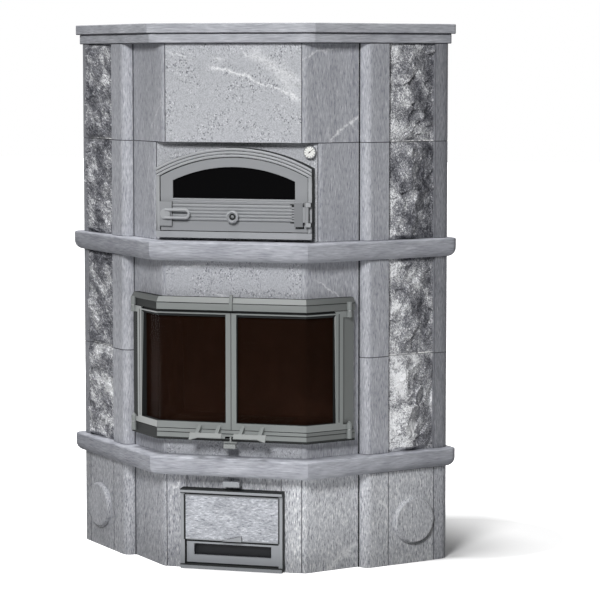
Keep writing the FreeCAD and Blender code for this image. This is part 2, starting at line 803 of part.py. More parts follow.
def fire_handle():
    """Wing blade that leans back, flares at its outer end and stands off the foot of a leaf on two posts."""
    front = -fire_frame_proud - fire_handle_reach
    low = fire_leaf_low - fire_handle_drop
    outer = fire_handle_inner + fire_handle_length
    blade = prism([spot(fire_handle_inner, 0), spot(outer - fire_handle_tip, 0),
                   spot(outer, -fire_handle_flare), spot(outer, fire_handle_high),
                   spot(fire_handle_inner, fire_handle_high)], -fire_handle_thick, 0)
    blade.rotate(Vector(0, 0, 0), Vector(1, 0, 0), 90 - fire_handle_tilt)
    blade.translate(Vector(0, front, low))
    lean = math.radians(fire_handle_tilt)
    ends = []
    for rise_share in handle_post_shares:
        rise = rise_share * fire_handle_high
        ends.append((front + rise * math.sin(lean) + fire_handle_thick / 2 * math.cos(lean),
                     low + rise * math.cos(lean) - fire_handle_thick / 2 * math.sin(lean)))
    foot = fire_leaf_low + fire_handle_post_lift
    section = [(-fire_frame_proud, foot), (-fire_frame_proud, foot + fire_handle_post_high)] + ends
    posts = []
    for start in (fire_handle_inner + fire_handle_post_inset, outer - fire_handle_tip):
        posts.append(across(start, start + fire_handle_post, section))
    return joined([blade] + posts)


def fire_trim():
    bevel_low = fire_frame_high - fire_top_bevel_high
    bevel_face = -fire_frame_proud + fire_top_bevel_deep
    clip = across(-catch_width / 2, catch_width / 2,
                  [(-fire_frame_proud, rail_low), (-fire_frame_proud, bevel_low),
                   (bevel_face, fire_frame_high), (bevel_face, fire_frame_high + catch_rise),
                   (bevel_face - catch_thick, fire_frame_high + catch_rise),
                   (-fire_frame_proud - catch_thick, bevel_low), (-fire_frame_proud - catch_thick, rail_low)])
    save("fire_top_catch", [clip])
    back = -fire_frame_proud - fire_slider_step
    half_stem = fire_slider_stem / 2
    tongue_low = fire_frame_low + fire_slider_rise
    tongue_high = tongue_low + fire_slider_tongue_high
    knob_high = fire_frame_low - fire_slider_plate_thick - fire_slider_plate_gap
    plate_low = knob_high + fire_slider_plate_gap
    knob = block(-fire_slider_knob_width / 2, fire_slider_knob_width / 2, back - fire_slider_knob_deep, back,
                 knob_high - fire_slider_knob_high, knob_high)
    plate = block(-fire_slider_plate_width / 2, fire_slider_plate_width / 2, back - fire_slider_knob_deep / 2,
                  back, plate_low, plate_low + fire_slider_plate_thick)
    stem = block(-half_stem, half_stem, back - fire_slider_stem, back, knob_high, tongue_high)
    tongue = block(-half_stem, half_stem, back, -fire_frame_proud + fire_slider_tongue_deep,
                   tongue_low, tongue_high)
    save("fire_air_slider", [joined([knob, plate, stem, tongue])])


# Bake oven: moulded arch, frame, door with glass, latch, hinge and knob, thermometer
oven_axis = leaf_half + leaf_gap / 2
oven_axis_deep = oven_leaf_face - oven_hinge_out
latch_across = -leaf_half + oven_latch_width / 2
latch_level = (oven_latch_low + oven_latch_high) / 2
latch_face = oven_leaf_face - oven_latch_proud
arch_end = arch_centre + math.sqrt(arch_inner ** 2 - (oven_half_width - oven_stile_width) ** 2)
knob_level = oven_rib_low + oven_knob_lift


def oven_arch():
    """Arched moulding with half-round reeds, turned about the arch centre and cut square at its ends."""
    pitch = oven_arch_band / oven_reed_count
    inner = arch_centre + arch_inner
    outer = arch_centre + oven_arch_radius
    edges = [Part.LineSegment(Vector(0, oven_frame_face, outer), Vector(0, oven_niche, outer)).toShape(),
             Part.LineSegment(Vector(0, oven_niche, outer), Vector(0, oven_niche, inner)).toShape(),
             Part.LineSegment(Vector(0, oven_niche, inner), Vector(0, oven_frame_face, inner)).toShape()]
    for number in range(oven_reed_count):
        low = inner + number * pitch
        crest = Vector(0, oven_frame_face - oven_reed_proud, low + pitch / 2)
        edges.append(Part.Arc(Vector(0, oven_frame_face, low), crest,
                              Vector(0, oven_frame_face, low + pitch)).toShape())
    section = Part.Face(Part.Wire(Part.__sortEdges__(edges)))
    centre = Vector(0, 0, arch_centre)
    section.rotate(centre, Vector(0, 1, 0), -oven_arch_sweep / 2)
    ring = section.revolve(centre, Vector(0, 1, 0), oven_arch_sweep)
    keep = block(-oven_half_width, oven_half_width, oven_frame_face - oven_reed_proud - cut_over,
                 oven_niche + cut_over, arch_end, oven_crown + cut_over)
    save("oven_arch", [ring.common(keep)])


def oven_frame():
    sill = block(-oven_half_width, oven_half_width, oven_frame_face, oven_niche, sill_low, sill_high)
    stile = block(oven_half_width - oven_stile_width, oven_half_width, oven_frame_face, oven_niche,
                  sill_high, arch_end)
    lugs = []
    for low in (oven_hinge_block_low - slide_gap - oven_hinge_lug, oven_hinge_block_high + slide_gap):
        eye = rod(oven_hinge_radius, Vector(oven_axis, oven_axis_deep, low),
                  Vector(oven_axis, oven_axis_deep, low + oven_hinge_lug))
        arm = block(oven_axis, oven_half_width, oven_axis_deep - oven_hinge_radius, oven_frame_face,
                    low, low + oven_hinge_lug)
        lugs += [eye, arm]
    bore = rod(oven_hinge_pin_radius + run_gap, Vector(oven_axis, oven_axis_deep, oven_latch_low - cut_over),
               Vector(oven_axis, oven_axis_deep, oven_latch_high + oven_hinge_lug))
    hinged = joined([stile] + lugs).cut(bore)
    save("oven_frame", [sill, hinged, mirrored(stile)])
    pin_low = oven_hinge_block_low - slide_gap - oven_hinge_lug
    pin_high = oven_hinge_block_high + slide_gap + oven_hinge_lug
    save("oven_hinge_pin", [rod(oven_hinge_pin_radius, Vector(oven_axis, oven_axis_deep, pin_low),
                                Vector(oven_axis, oven_axis_deep, pin_high))])


def reeds(first, pitch, count, radius, left, right):
    """Half-round bars along the door face, one above the other."""
    bars = []
    for number in range(count):
        level = first + (number + 0.5) * pitch
        deep = oven_leaf_face + oven_rib_sink
        bars.append(rod(radius, Vector(left, deep, level), Vector(right, deep, level)))
    return bars


def oven_door():
    glass_radius = leaf_radius - oven_glass_band
    pocket_front = oven_leaf_face + oven_glass_back
    leaf = arch_prism(leaf_half, leaf_low, leaf_radius, oven_leaf_face, leaf_back)
    window = arch_prism(oven_glass_half, oven_glass_low, glass_radius, oven_leaf_face - cut_over,
                        leaf_back + cut_over)
    pocket = arch_prism(oven_glass_half + oven_glass_lap, oven_glass_low - oven_glass_lap,
                        glass_radius + oven_glass_lap, pocket_front, leaf_back + cut_over)
    block_left = oven_axis - oven_hinge_block_width
    rib_left = -leaf_half + oven_latch_width
    rib_right = block_left - oven_fin_length
    rib_top = oven_rib_low + oven_rib_pitch * oven_rib_count
    grooves = [block(rib_left, rib_right, oven_leaf_face - cut_over, oven_leaf_face + oven_groove,
                     level - oven_groove, level) for level in (oven_rib_low, rib_top + oven_groove)]
    leaf = leaf.cut([window, pocket] + grooves)
    bead_low = oven_glass_low - oven_bead_high
    trims = reeds(oven_rib_low, oven_rib_pitch, oven_rib_count, oven_rib_radius, rib_left, rib_right)
    trims += reeds(bead_low, oven_bead_high / 2, 2, oven_bead_high / 4 + oven_bead_proud / 2,
                   -oven_glass_half, oven_glass_half)
    trims.append(block(block_left, oven_axis, oven_leaf_face - oven_hinge_block_proud, oven_leaf_face,
                       oven_hinge_block_low, oven_hinge_block_high))
    trims.append(rod(oven_hinge_radius, Vector(oven_axis, oven_axis_deep, oven_hinge_block_low),
                     Vector(oven_axis, oven_axis_deep, oven_hinge_block_high)))
    trims.append(block(-leaf_half, rib_left, latch_face, oven_leaf_face, oven_latch_low, oven_latch_high))
    fin_pitch = (oven_hinge_block_high - oven_hinge_block_low) / oven_fin_count
    for number in range(oven_fin_count):
        low = oven_hinge_block_low + (number + 0.5) * fin_pitch - oven_fin_high / 2
        trims.append(block(rib_right, block_left, oven_leaf_face - oven_fin_proud, oven_leaf_face,
                           low, low + oven_fin_high))
    over = oven_latch_proud + oven_rib_radius + cut_over
    bores = [rod(oven_hinge_pin_radius + run_gap,
                 Vector(oven_axis, oven_axis_deep, oven_hinge_block_low - cut_over),
                 Vector(oven_axis, oven_axis_deep, oven_hinge_block_high + cut_over))]
    for x, z, radius in ((latch_across, latch_level, oven_latch_spindle), (0, knob_level, oven_knob_stem)):
        bores.append(rod(radius + run_gap, Vector(x, oven_leaf_face - over, z),
                         Vector(x, leaf_back + over, z)))
    save("oven_door", [joined([leaf] + trims).cut(bores)])
    glass_lap = oven_glass_lap - slide_gap
    save("oven_glass", [arch_prism(oven_glass_half + glass_lap, oven_glass_low - glass_lap,
                                   glass_radius + glass_lap, pocket_front, pocket_front + oven_glass_thick)])
    outer = arch_prism(leaf_half, leaf_low, leaf_radius, leaf_back, oven_niche - slide_gap)
    inner = arch_prism(leaf_half - oven_seal_width, leaf_low + oven_seal_width, leaf_radius - oven_seal_width,
                       leaf_back - cut_over, oven_niche + cut_over)
    save("oven_seal", [outer.cut(inner)])


def oven_latch():
    """Loop handle on a turning boss, with a spindle through the door and a retaining collar behind it."""
    boss_back = latch_face - slide_gap
    boss_front = boss_back - oven_latch_boss_thick
    collar = leaf_back + slide_gap
    turns = []
    retainer = oven_latch_spindle + oven_retainer_lap
    for radius, start, end in ((oven_latch_boss, boss_back, boss_front),
                               (oven_latch_spindle, boss_back, collar),
                               (retainer, collar, collar + oven_retainer_thick)):
        turns.append(rod(radius, Vector(latch_across, start, latch_level),
                         Vector(latch_across, end, latch_level)))
    half_gap = oven_latch_bar_gap / 2
    bend = latch_across + oven_latch_length - half_gap - oven_latch_bar
    deep = boss_front
    upper, lower = latch_level + half_gap, latch_level - half_gap
    path = Part.Wire([
        Part.LineSegment(Vector(latch_across, deep, upper), Vector(bend, deep, upper)).toShape(),
        Part.Arc(Vector(bend, deep, upper), Vector(bend + half_gap, deep, latch_level),
                 Vector(bend, deep, lower)).toShape(),
        Part.LineSegment(Vector(bend, deep, lower), Vector(latch_across, deep, lower)).toShape()])
    ring = Part.Wire(Part.makeCircle(oven_latch_bar, Vector(latch_across, deep, upper), Vector(1, 0, 0)))
    loop = path.makePipeShell([ring], True, False)
    save("oven_latch_handle", [joined(turns + [loop])])


def oven_knob():
    """Dished round knob with a pointed hub, on a spindle through the door."""
    back = oven_knob_standoff
    face = back + oven_knob_deep
    collar = oven_leaf_thick + slide_gap
    rim = oven_knob_radius - oven_knob_dish / 2
    profile = [(0, -collar - oven_retainer_thick),
               (oven_knob_stem + oven_retainer_lap, -collar - oven_retainer_thick),
               (oven_knob_stem + oven_retainer_lap, -collar), (oven_knob_stem, -collar),
               (oven_knob_stem, back), (rim, back), (oven_knob_radius, back + oven_knob_deep / 3),
               (oven_knob_radius, face - oven_knob_deep / 4), (rim, face),
               (oven_knob_dish, face - oven_knob_deep / 2), (oven_knob_hub, face - oven_knob_deep / 2),
               (0, face)]
    save("oven_knob", [facing(turned(profile), Vector(0, oven_leaf_face, knob_level), to_front)])


def thermometer():
    place = Vector(dial_across, oven_niche, dial_high)
    well = dial_deep - dial_well
    bowl = dial_radius - dial_rim
    case = turned([(0, 0), (dial_radius, 0), (dial_radius, dial_deep), (bowl, dial_deep), (bowl, well),
                   (needle_pivot + run_gap, well), (needle_pivot + run_gap, well - dial_well),
                   (0, well - dial_well)])
    save("thermometer_case", [facing(case, place, to_front)])
    dial = turned([(needle_pivot + run_gap, well), (bowl - slide_gap, well),
                   (bowl - slide_gap, well + dial_plate), (needle_pivot + run_gap, well + dial_plate)])
    save("thermometer_dial", [facing(dial, place, to_front)])
    low = well + dial_plate + needle_clear
    half = needle_width / 2
    hand = prism([spot(-needle_tail, -half), spot(needle_length, -half / 2), spot(needle_length, half / 2),
                  spot(-needle_tail, half)], low, low + needle_thick)
    hub = Part.makeCylinder(needle_hub, needle_thick, Vector(0, 0, low))
    pivot = Part.makeCylinder(needle_pivot, low - well + dial_well, Vector(0, 0, well - dial_well))
    hand = joined([hand, hub, pivot])
    hand.rotate(Vector(0, 0, 0), Vector(0, 0, 1), 90 - needle_angle)
    save("thermometer_needle", [facing(hand, place, to_front)])


# Ash door: frame, top-hung stone-faced flap, drawer below it, air slider above it
flap_high = ash_frame_high - ash_rail - flap_gap
flap_half = ash_half_width - ash_stile - leaf_gap
flap_face = -ash_frame_proud + flap_face_back
flap_back = flap_face + flap_deep
flap_axis_deep = flap_face + flap_pin_radius
flap_axis_high = flap_high - flap_axis_drop


def ash_frame():
    ring = block(-ash_half_width, ash_half_width, -ash_frame_proud, 0, ash_frame_low, ash_frame_high)
    rails = []
    for low, high in ((ash_frame_low, ash_frame_low + ash_sill), (ash_frame_high - ash_rail, ash_frame_high)):
        rails.append(block(-ash_half_width, ash_half_width, -ash_frame_proud - ash_rail_proud,
                           -ash_frame_proud, low, high))
    mouth_half = ash_half_width - ash_stile
    mouth = block(-mouth_half, mouth_half, -ash_frame_proud - cut_over, cut_over,
                  ash_frame_low + ash_sill, ash_frame_high - ash_rail)
    reach = flap_half + flap_pin_length + slide_gap
    pin_hole = rod(flap_pin_radius + run_gap, Vector(-reach, flap_axis_deep, flap_axis_high),
                   Vector(reach, flap_axis_deep, flap_axis_high))
    save("ash_frame", [joined([ring] + rails).cut([mouth, pin_hole])])


def ash_flap():
    plate = block(-flap_half, flap_half, flap_back - flap_steel, flap_back, flap_low, flap_high)
    lips = [block(-flap_half, flap_half, flap_face, flap_back, flap_low, flap_low + flap_lip),
            block(-flap_half, flap_half, flap_face, flap_back, flap_high - flap_lip, flap_high)]
    reach = flap_half + flap_pin_length
    pin = rod(flap_pin_radius, Vector(-reach, flap_axis_deep, flap_axis_high),
              Vector(reach, flap_axis_deep, flap_axis_high))
    left = flap_pull_shift - flap_pull_width / 2
    right = left + flap_pull_width
    front = flap_face - flap_pull_thick
    corners = [Vector(left, front, flap_low), Vector(right, front, flap_low),
               Vector(right, front, flap_low + flap_pull_high), Vector(left, front, flap_low + flap_lip / 2)]
    pull = Part.Face(Part.makePolygon(corners + corners[:1])).extrude(Vector(0, flap_pull_thick, 0))
    steel = joined([plate, pin, pull] + lips)
    save("ash_flap", [steel])
    slab_low = flap_low + flap_lip
    facing_stone = block(-flap_half, flap_half, flap_face, flap_back - flap_steel,
                         slab_low, flap_high - flap_lip)
    groove = rod(flap_pin_radius + slide_gap, Vector(-reach, flap_axis_deep, flap_axis_high),
                 Vector(reach, flap_axis_deep, flap_axis_high))
    save("ash_flap_stone", [facing_stone.cut(groove)])


def ash_drawer():
    front = -ash_frame_proud + drawer_front_back
    back = front + drawer_front_thick
    half = ash_half_width - ash_stile - drawer_front_side_gap
    high = flap_low - drawer_front_top_gap
    face = block(-half, half, front, back, drawer_front_low, high)
    window = block(-drawer_slot_half, drawer_slot_half, front - cut_over, back + cut_over,
                   drawer_slot_low, drawer_slot_high)
    outer = drawer_slot_half + drawer_wall
    floor_low = drawer_front_low
    floor_high = floor_low + drawer_wall
    top = floor_low + drawer_tray_high
    recess = front + drawer_recess
    tray = [block(-outer, outer, back, drawer_length, floor_low, floor_high),
            block(-outer, outer, drawer_length - drawer_wall, drawer_length, floor_low, top)]
    cheek = block(drawer_slot_half, outer, back, drawer_length, floor_low, top)
    runner = block(outer - drawer_skid, outer, back, drawer_length, base_slab_thick + slide_gap, floor_low)
    shield = [block(-drawer_slot_half, drawer_slot_half, recess, recess + drawer_wall, floor_high, high),
              block(-outer, outer, back, recess + drawer_wall, high - drawer_wall, high)]
    save("ash_drawer", [face.cut(window), joined(tray + with_mirror([cheek, runner])), joined(shield)])


def ash_slider():
    low = ash_slider_low
    high = low + ash_slider_high
    knob = block(-ash_slider_width / 2, ash_slider_width / 2, -ash_slider_stand - ash_slider_deep,
                 -ash_slider_stand, low, high)
    tongue_low = low + (ash_slider_high - ash_slider_tongue_high) / 2
    tongue = block(-ash_slider_tongue / 2, ash_slider_tongue / 2, -ash_slider_stand, ash_slider_tongue_deep,
                   tongue_low, tongue_low + ash_slider_tongue_high)
    save("ash_air_slider", [joined([knob, tongue])])


def soot_plugs():
    edge = plug_radius - plug_round
    profile = [(0, -plug_neck_deep), (plug_neck_radius, -plug_neck_deep), (plug_neck_radius, 0),
               (plug_radius, 0), (plug_radius, plug_proud - plug_round), (edge, plug_proud), (0, plug_proud)]
    plug = facing(turned(profile), plug_centre(column_step), Vector(cos45, -cos45, 0))
    save("soot_plug_right", [plug])
    save("soot_plug_left", [mirrored(plug)])


side_stones()
front_stones()
shelf("lower_shelf", shelf_low)
shelf("upper_shelf", middle_high)
cap("cap_lower", upper_high, cap_lower_front, cap_lower_side)
cap("cap_upper", upper_high + cap_thick, cap_upper_front, cap_upper_side)
rear_stones()
core()
hearth()
fire_frame()
fire_leaves()
fire_trim()
oven_arch()
oven_frame()
oven_door()
oven_latch()
oven_knob()
thermometer()
ash_frame()
ash_flap()
ash_drawer()
ash_slider()
soot_plugs()
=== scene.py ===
import math

import bpy
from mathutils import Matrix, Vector, noise


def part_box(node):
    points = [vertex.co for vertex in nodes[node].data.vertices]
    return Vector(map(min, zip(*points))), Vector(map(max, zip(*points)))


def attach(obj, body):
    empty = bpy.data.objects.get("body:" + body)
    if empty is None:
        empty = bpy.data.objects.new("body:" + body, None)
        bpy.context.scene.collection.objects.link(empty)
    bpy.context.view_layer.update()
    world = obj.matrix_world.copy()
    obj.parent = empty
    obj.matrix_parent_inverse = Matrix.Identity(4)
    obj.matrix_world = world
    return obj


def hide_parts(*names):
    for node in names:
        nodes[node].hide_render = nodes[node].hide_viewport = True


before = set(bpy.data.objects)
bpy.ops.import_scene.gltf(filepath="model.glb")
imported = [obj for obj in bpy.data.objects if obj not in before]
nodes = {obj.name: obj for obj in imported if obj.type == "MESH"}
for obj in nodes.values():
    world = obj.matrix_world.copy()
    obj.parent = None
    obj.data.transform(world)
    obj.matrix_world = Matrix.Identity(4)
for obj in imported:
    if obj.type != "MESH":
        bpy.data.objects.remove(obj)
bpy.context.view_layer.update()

# Looks of a corner masonry heater: soapstone shell, bay fire door, bake oven above it, ash door below it.
# Metres, in the frame of the solids: +Z up, the front towards -Y, the floor at zero.
mm = 0.001

# Levels of the stone courses: base, lower shelf, two courses, upper shelf, two courses, cap
base_high, fire_low = [corner.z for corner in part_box("lower_shelf")]
fire_high, oven_low = [corner.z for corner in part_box("upper_shelf")]
oven_high, cap_joint = [corner.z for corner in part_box("cap_lower")]
fire_joint = (fire_low + fire_high) / 2
oven_joint = (oven_low + oven_high) / 2
course_levels = ((base_high + fire_low) / 2, fire_joint, (fire_high + oven_low) / 2, oven_joint)
joint_levels = (base_high, fire_low, fire_joint, fire_high, oven_low, oven_joint, oven_high, cap_joint)

# The 45 degree sides: their front edge and the ways along and out of them; the joints beside the front
side_turn = math.radians(45)
side_start = Vector((240 * mm, -400 * mm, 0))
side_along = Vector((math.cos(side_turn), math.sin(side_turn), 0))
side_out = Vector((math.sin(side_turn), -math.cos(side_turn), 0))
front_joint = 229 * mm

# Faces are told apart by how far they turn: bevels, noses of the columns, edges of the doors' metal
bevel_turns = (0.2, 0.95)
nose_turn = 0.3
sideways_turn = 0.6
joint_rise = 3 * mm
joint_width = 2.6 * mm

# Split-face panels: their place on the sides, their margins, and the broken relief in each course
panel_runs = (298 * mm, 477 * mm)
panel_courses = ((fire_low, fire_joint), (fire_joint, fire_high),
                 (oven_low, oven_joint), (oven_joint, oven_high))
panel_face = 25 * mm
panel_back = -23 * mm
panel_grid = 3.5 * mm
panel_margin = 14 * mm
rear_margin = 3 * mm
panel_joint = 1 * mm
panel_arris = 4 * mm
split_ridges = {"right": (24 * mm, 16 * mm, 28 * mm, 14 * mm), "left": (22 * mm, 20 * mm, 30 * mm, 30 * mm)}
crest_shares = {"right": 0.42, "left": 1.25}
ridge_swing = 45 * mm
ridge_lump = 120 * mm
split_facet = 48 * mm
facet_lean = 0.45
split_chip = 5 * mm
split_flake = 16 * mm
flake_octaves = 2
flake_middle_share = 0.5
course_seed = 3.7
side_seed = 1.9
facet_seed = 10

# Doors: the back of the drawer's painted front, the ring in the oven knob, the barrels of the fire door's
# hinges, its sunk faces, the foot of its handles' posts, and how deep the stones begin to line the firebox
drawer_front_back = -408.5 * mm
knob_hollow = (5.5 * mm, 10.5 * mm)
knob_middle = sum(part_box("oven_knob"), Vector()) / 2
pins_low, pins_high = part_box("fire_hinge_pins")
pin_radius = (pins_high.y - pins_low.y) / 2
hinge_axis = Vector((pins_high.x - pin_radius, pins_low.y + pin_radius))
hinge_reach = 9.6 * mm
sunk_face = 25.5 * mm
post_level = 463 * mm
sooted_depth = -4 * mm

# Dial of the thermometer: ticks round its rim
dial_middle = sum(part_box("thermometer_dial"), Vector()) / 2
dial_ticks = 12.0
tick_start = 13.5 * mm

# Soft edges of rolled and cast metal
soft_edges = (("fire_door_frame", 1.2 * mm), ("fire_door_left", 1.2 * mm), ("fire_door_right", 1.2 * mm),
              ("fire_handle_left", 0.8 * mm), ("fire_handle_right", 0.8 * mm), ("fire_top_catch", 0.8 * mm),
              ("fire_air_slider", 0.8 * mm), ("ash_frame", 1.2 * mm), ("ash_flap", 0.6 * mm),
              ("ash_air_slider", 1 * mm), ("oven_frame", 1.2 * mm), ("ash_flap_stone", 1 * mm))
edge_segments = 2
edge_angle = math.radians(40)
weld_reach = 0.01 * mm

# Grooves of the fire door, drawn as dark inlays that paint the shade in them: how far out, along the wings,
# and from what level to what
groove_outs = (30 * mm, 30.4 * mm)
frame_run = 171 * mm
frame_grooves = ((430 * mm, 438 * mm), (453 * mm, 455.5 * mm), (878.5 * mm, 881 * mm))
stile_groove_run = (109 * mm, 112 * mm)
stile_groove_levels = (492 * mm, 846 * mm)

# Straight dark inlays, painted shadow between the oven door's fins, under its hinge cover and in the gaps
# round the ash door's frame, flap and drawer, in millimetres: body, then the low and high corner
door_shadow_lines = (
    ("oven_leaf", (189.5, -394.4, 1141), (206.5, -394, 1203)),
    ("oven_leaf", (207, -394.6, 1124), (236, -394, 1131)),
    ("body", (-172, -438.4, 265.5), (172, -438, 269)),
    ("body", (-172, -438.4, 255), (172, -438, 257)),
    ("body", (-172, -438.4, 17), (172, -438, 20)),
    ("body", (-162, -430.4, 100), (-159, -430, 250)),
    ("body", (159, -430.4, 100), (162, -430, 250)),
    ("ash_tray", (-156, -417.4, 92), (156, -417, 97)),
)

# Cover of the oven door's hinge: low and high corner
hinge_cover = (Vector((206.6, -411, 1131)) * mm, Vector((235, -394, 1207)) * mm)

# Painted shadow: dark strips in the corners beside the columns, where each column stands proud of the stone
# beside it
column_shadow_run = (203 * mm, 206 * mm)
column_shadow_outs = (0 * mm, 3 * mm)
column_shadow_levels = ((0.0, base_high), (fire_low, fire_high), (oven_low, oven_high))

# Camera, matched to the upright and 45 degree edges in the photograph. The uprights there are parallel, so
# part of its look down is a small shift of the lens. Angles are in degrees, the lens and sensor in
# millimetres.
camera_place = Vector((2040.4 * mm, -7507.9 * mm, 1658.1 * mm))
camera_dip = 4.888
camera_yaw = 14.341
camera_lens = 137.4
camera_shift = (0.0, -0.07)
camera_sensor = 36.0
camera_reach = 100.0
quarter_turn = 90.0

# Light: a softbox before the heater, a broad high lamp at its left, what the white floor throws back, and a
# low fill behind. The high lamp's turn, height and softness are in degrees.
softbox_place = Vector((0.12, -5.0, 3.5))
softbox_aim = Vector((0, -0.4, 0.9))
softbox_size = (1.2, 1.2)
softbox_power = 222.0
bounce_place = Vector((0.45, -1.2, 0.03))
bounce_aim = Vector((0.45, -1.2, 2.0))
bounce_size = (3.0, 1.4)
bounce_power = 14.0
rear_place = Vector((0.0, 4.6, 0.7))
rear_aim = Vector((0, 0.4, 0.9))
rear_size = (3.2, 1.0)
rear_power = 80.0
top_turn = -42.0
top_height = 82.0
top_strength = 2.0
top_softness = 12.0
ambient = 0.05

# Floor: it shows white but for the shade at the heater's right, where its glow fades
floor_half = 30.0
floor_glow = 0.05
shade_middle = Vector((0.66, 0.3, 0))
glow_near = 0.32
glow_far = 0.62

# Settings that many shader nodes share
plus = {"operation": "ADD"}
minus = {"operation": "SUBTRACT"}
times = {"operation": "MULTIPLY"}
above = {"operation": "GREATER_THAN"}
below = {"operation": "LESS_THAN"}
larger = {"operation": "MAXIMUM"}
dot_product = {"operation": "DOT_PRODUCT"}
mix = {"blend_type": "MIX"}
multiply = {"blend_type": "MULTIPLY"}


# Colours and nodes
def paint(colour):
    """An sRGB hex colour as a linear one."""
    channels = [int(colour[start:start + 2], 16) / 255 for start in (1, 3, 5)]
    linear = [c / 12.92 if c <= 0.04045 else ((c + 0.055) / 1.055) ** 2.4 for c in channels]
    return (*linear, 1.0)


def add(tree, kind, settings=None, inputs=None, stops=(), output=0):
    """Adds one shader node and gives one of its outputs. Settings are the node's own, inputs are values or
    the sockets that feed it, and stops are the (place share, hex colour) pairs of a colour ramp."""
    node = tree.nodes.new("ShaderNode" + kind)
    for name, value in (settings or {}).items():
        setattr(node, name, value)
    for name, value in (inputs or {}).items():
        if isinstance(value, bpy.types.NodeSocket):
            tree.links.new(value, node.inputs[name])
        else:
            node.inputs[name].default_value = value
    elements = node.color_ramp.elements if stops else []
    while len(elements) < len(stops):
        elements.new(1.0)
    for element, (place_share, colour) in zip(elements, stops):
        element.position = place_share
        element.color = paint(colour)
    return node.outputs[output]


def surface(name, colour, sockets):
    """A new material with one plain shader; gives the material, its node tree and the shader."""
    material = bpy.data.materials.new(name)
    material.use_nodes = True
    tree = material.node_tree
    shader = tree.nodes["Principled BSDF"]
    shader.inputs["Base Color"].default_value = paint(colour)
    for socket, value in sockets.items():
        shader.inputs[socket].default_value = value
    return material, tree, shader


stone_jump = 7.31


def own_place(tree, place):
    """The place in a stone, moved on by course, side and piece, so that no grain runs across a joint."""
    across = add(tree, "SeparateXYZ", inputs={0: place}, output="X")
    height = add(tree, "SeparateXYZ", inputs={0: place}, output="Z")
    course = 0.0
    for level in course_levels:
        passed = add(tree, "Math", above, {0: height, 1: level})
        course = add(tree, "Math", plus, {0: passed, 1: course})
    right = add(tree, "Math", above, {0: across, 1: front_joint})
    left = add(tree, "Math", below, {0: across, 1: -front_joint})
    side = add(tree, "Math", minus, {0: right, 1: left})
    piece = add(tree, "ObjectInfo", output="Random")
    step = add(tree, "CombineXYZ", inputs={0: course, 1: side, 2: piece})
    jump = add(tree, "VectorMath", {"operation": "SCALE"}, {0: step, "Scale": stone_jump})
    return add(tree, "VectorMath", plus, {0: place, 1: jump})


def grain(tree, place, size, octaves, roughness=0.5):
    """Noise whose lumps have the given sizes along X, Y and Z."""
    scaled = add(tree, "Mapping", inputs={"Vector": place, "Scale": [1 / length for length in size]})
    return add(tree, "TexNoise", inputs={"Vector": scaled, "Scale": 1.0, "Detail": octaves,
                                         "Roughness": roughness}, output="Fac")


# White veins, in millimetres: start and end of each in width and height, half width, and share of white
front_veins = (
    ((-215, 1692), (-150, 1670), 5, 0.7),
    ((-64, 1671), (-34, 1666), 5, 0.6),
    ((-66, 909), (-28, 898), 5, 0.6),
    ((-75, 1648), (55, 1610), 9, 0.9),
    ((55, 1610), (110, 1586), 6, 0.95),
    ((110, 1586), (216, 1546), 6, 0.75),
    ((10, 1712), (60, 1680), 6, 0.5),
    ((60, 1690), (225, 1590), 30, 0.55),
    ((150, 1610), (225, 1530), 22, 0.45),
    ((-190, 985), (-90, 1000), 6, 0.5),
)
angled_veins = (
    ((305, 1403), (343, 1450), 6, 0.85),
    ((343, 1450), (386, 1485), 7, 0.95),
    ((365, 1466), (378, 1442), 5, 0.7),
    ((238, 1669), (266, 1689), 6, 0.7),
    ((266, 1689), (325, 1700), 5, 0.6),
    ((-290, 1445), (-240, 1537), 4, 0.5),
    ((268, 955), (345, 887), 5, 0.6),
    ((302, 2), (345, 56), 16, 1.0),
    ((345, 58), (383, 78), 16, 1.0),
    ((345, 56), (378, 35), 10, 0.9),
    ((449, 235), (476, 150), 8, 0.8),
    ((-185, 297), (-222, 218), 4, 0.7),
)
vein_bend = (50 * mm, 50 * mm, 50 * mm)
vein_break = (8 * mm, 8 * mm, 8 * mm)
vein_swing = 26 * mm
vein_fade = 16 * mm


def veins(tree, place, own, colour, lines):
    """Broken white lines laid over a stone's colour."""
    bend = grain(tree, own, vein_bend, octaves=4, roughness=0.65)
    swing = add(tree, "MapRange", inputs={"Value": bend, "To Min": -vein_swing, "To Max": vein_swing})
    gaps = grain(tree, own, vein_break, octaves=3, roughness=0.7)
    broken = add(tree, "ValToRGB", inputs={0: gaps}, stops=((0.36, "#000000"), (0.54, "#ffffff")))
    for start, end, half_width, white_share in lines:
        first = Vector((start[0], 0, start[1])) * mm
        run = Vector((end[0], 0, end[1])) * mm - first
        across = Vector((-run.z, 0, run.x)).normalized()
        spot = add(tree, "VectorMath", minus, {0: place, 1: first})
        off = add(tree, "VectorMath", dot_product, {0: spot, 1: across}, output="Value")
        bent = add(tree, "Math", plus, {0: off, 1: swing})
        far = add(tree, "Math", {"operation": "ABSOLUTE"}, {0: bent})
        near = add(tree, "MapRange", inputs={"Value": far, "From Max": half_width * mm,
                                             "To Min": white_share, "To Max": 0.0})
        gone = add(tree, "VectorMath", dot_product, {0: spot, 1: run.normalized()}, output="Value")
        begun = add(tree, "MapRange", inputs={"Value": gone, "From Min": -vein_fade, "From Max": vein_fade})
        ended = add(tree, "MapRange", inputs={"Value": gone, "From Min": run.length - vein_fade,
                                              "From Max": run.length + vein_fade,
                                              "To Min": 1.0, "To Max": 0.0})
        held = add(tree, "Math", times, {0: begun, 1: ended})
        share = add(tree, "Math", times, {0: near, 1: held})
        share = add(tree, "MixRGB", multiply, {0: 1.0, 1: share, 2: broken})
        colour = add(tree, "MixRGB", mix, {0: share, 1: colour, 2: paint("#f2f3f5")})
    return colour


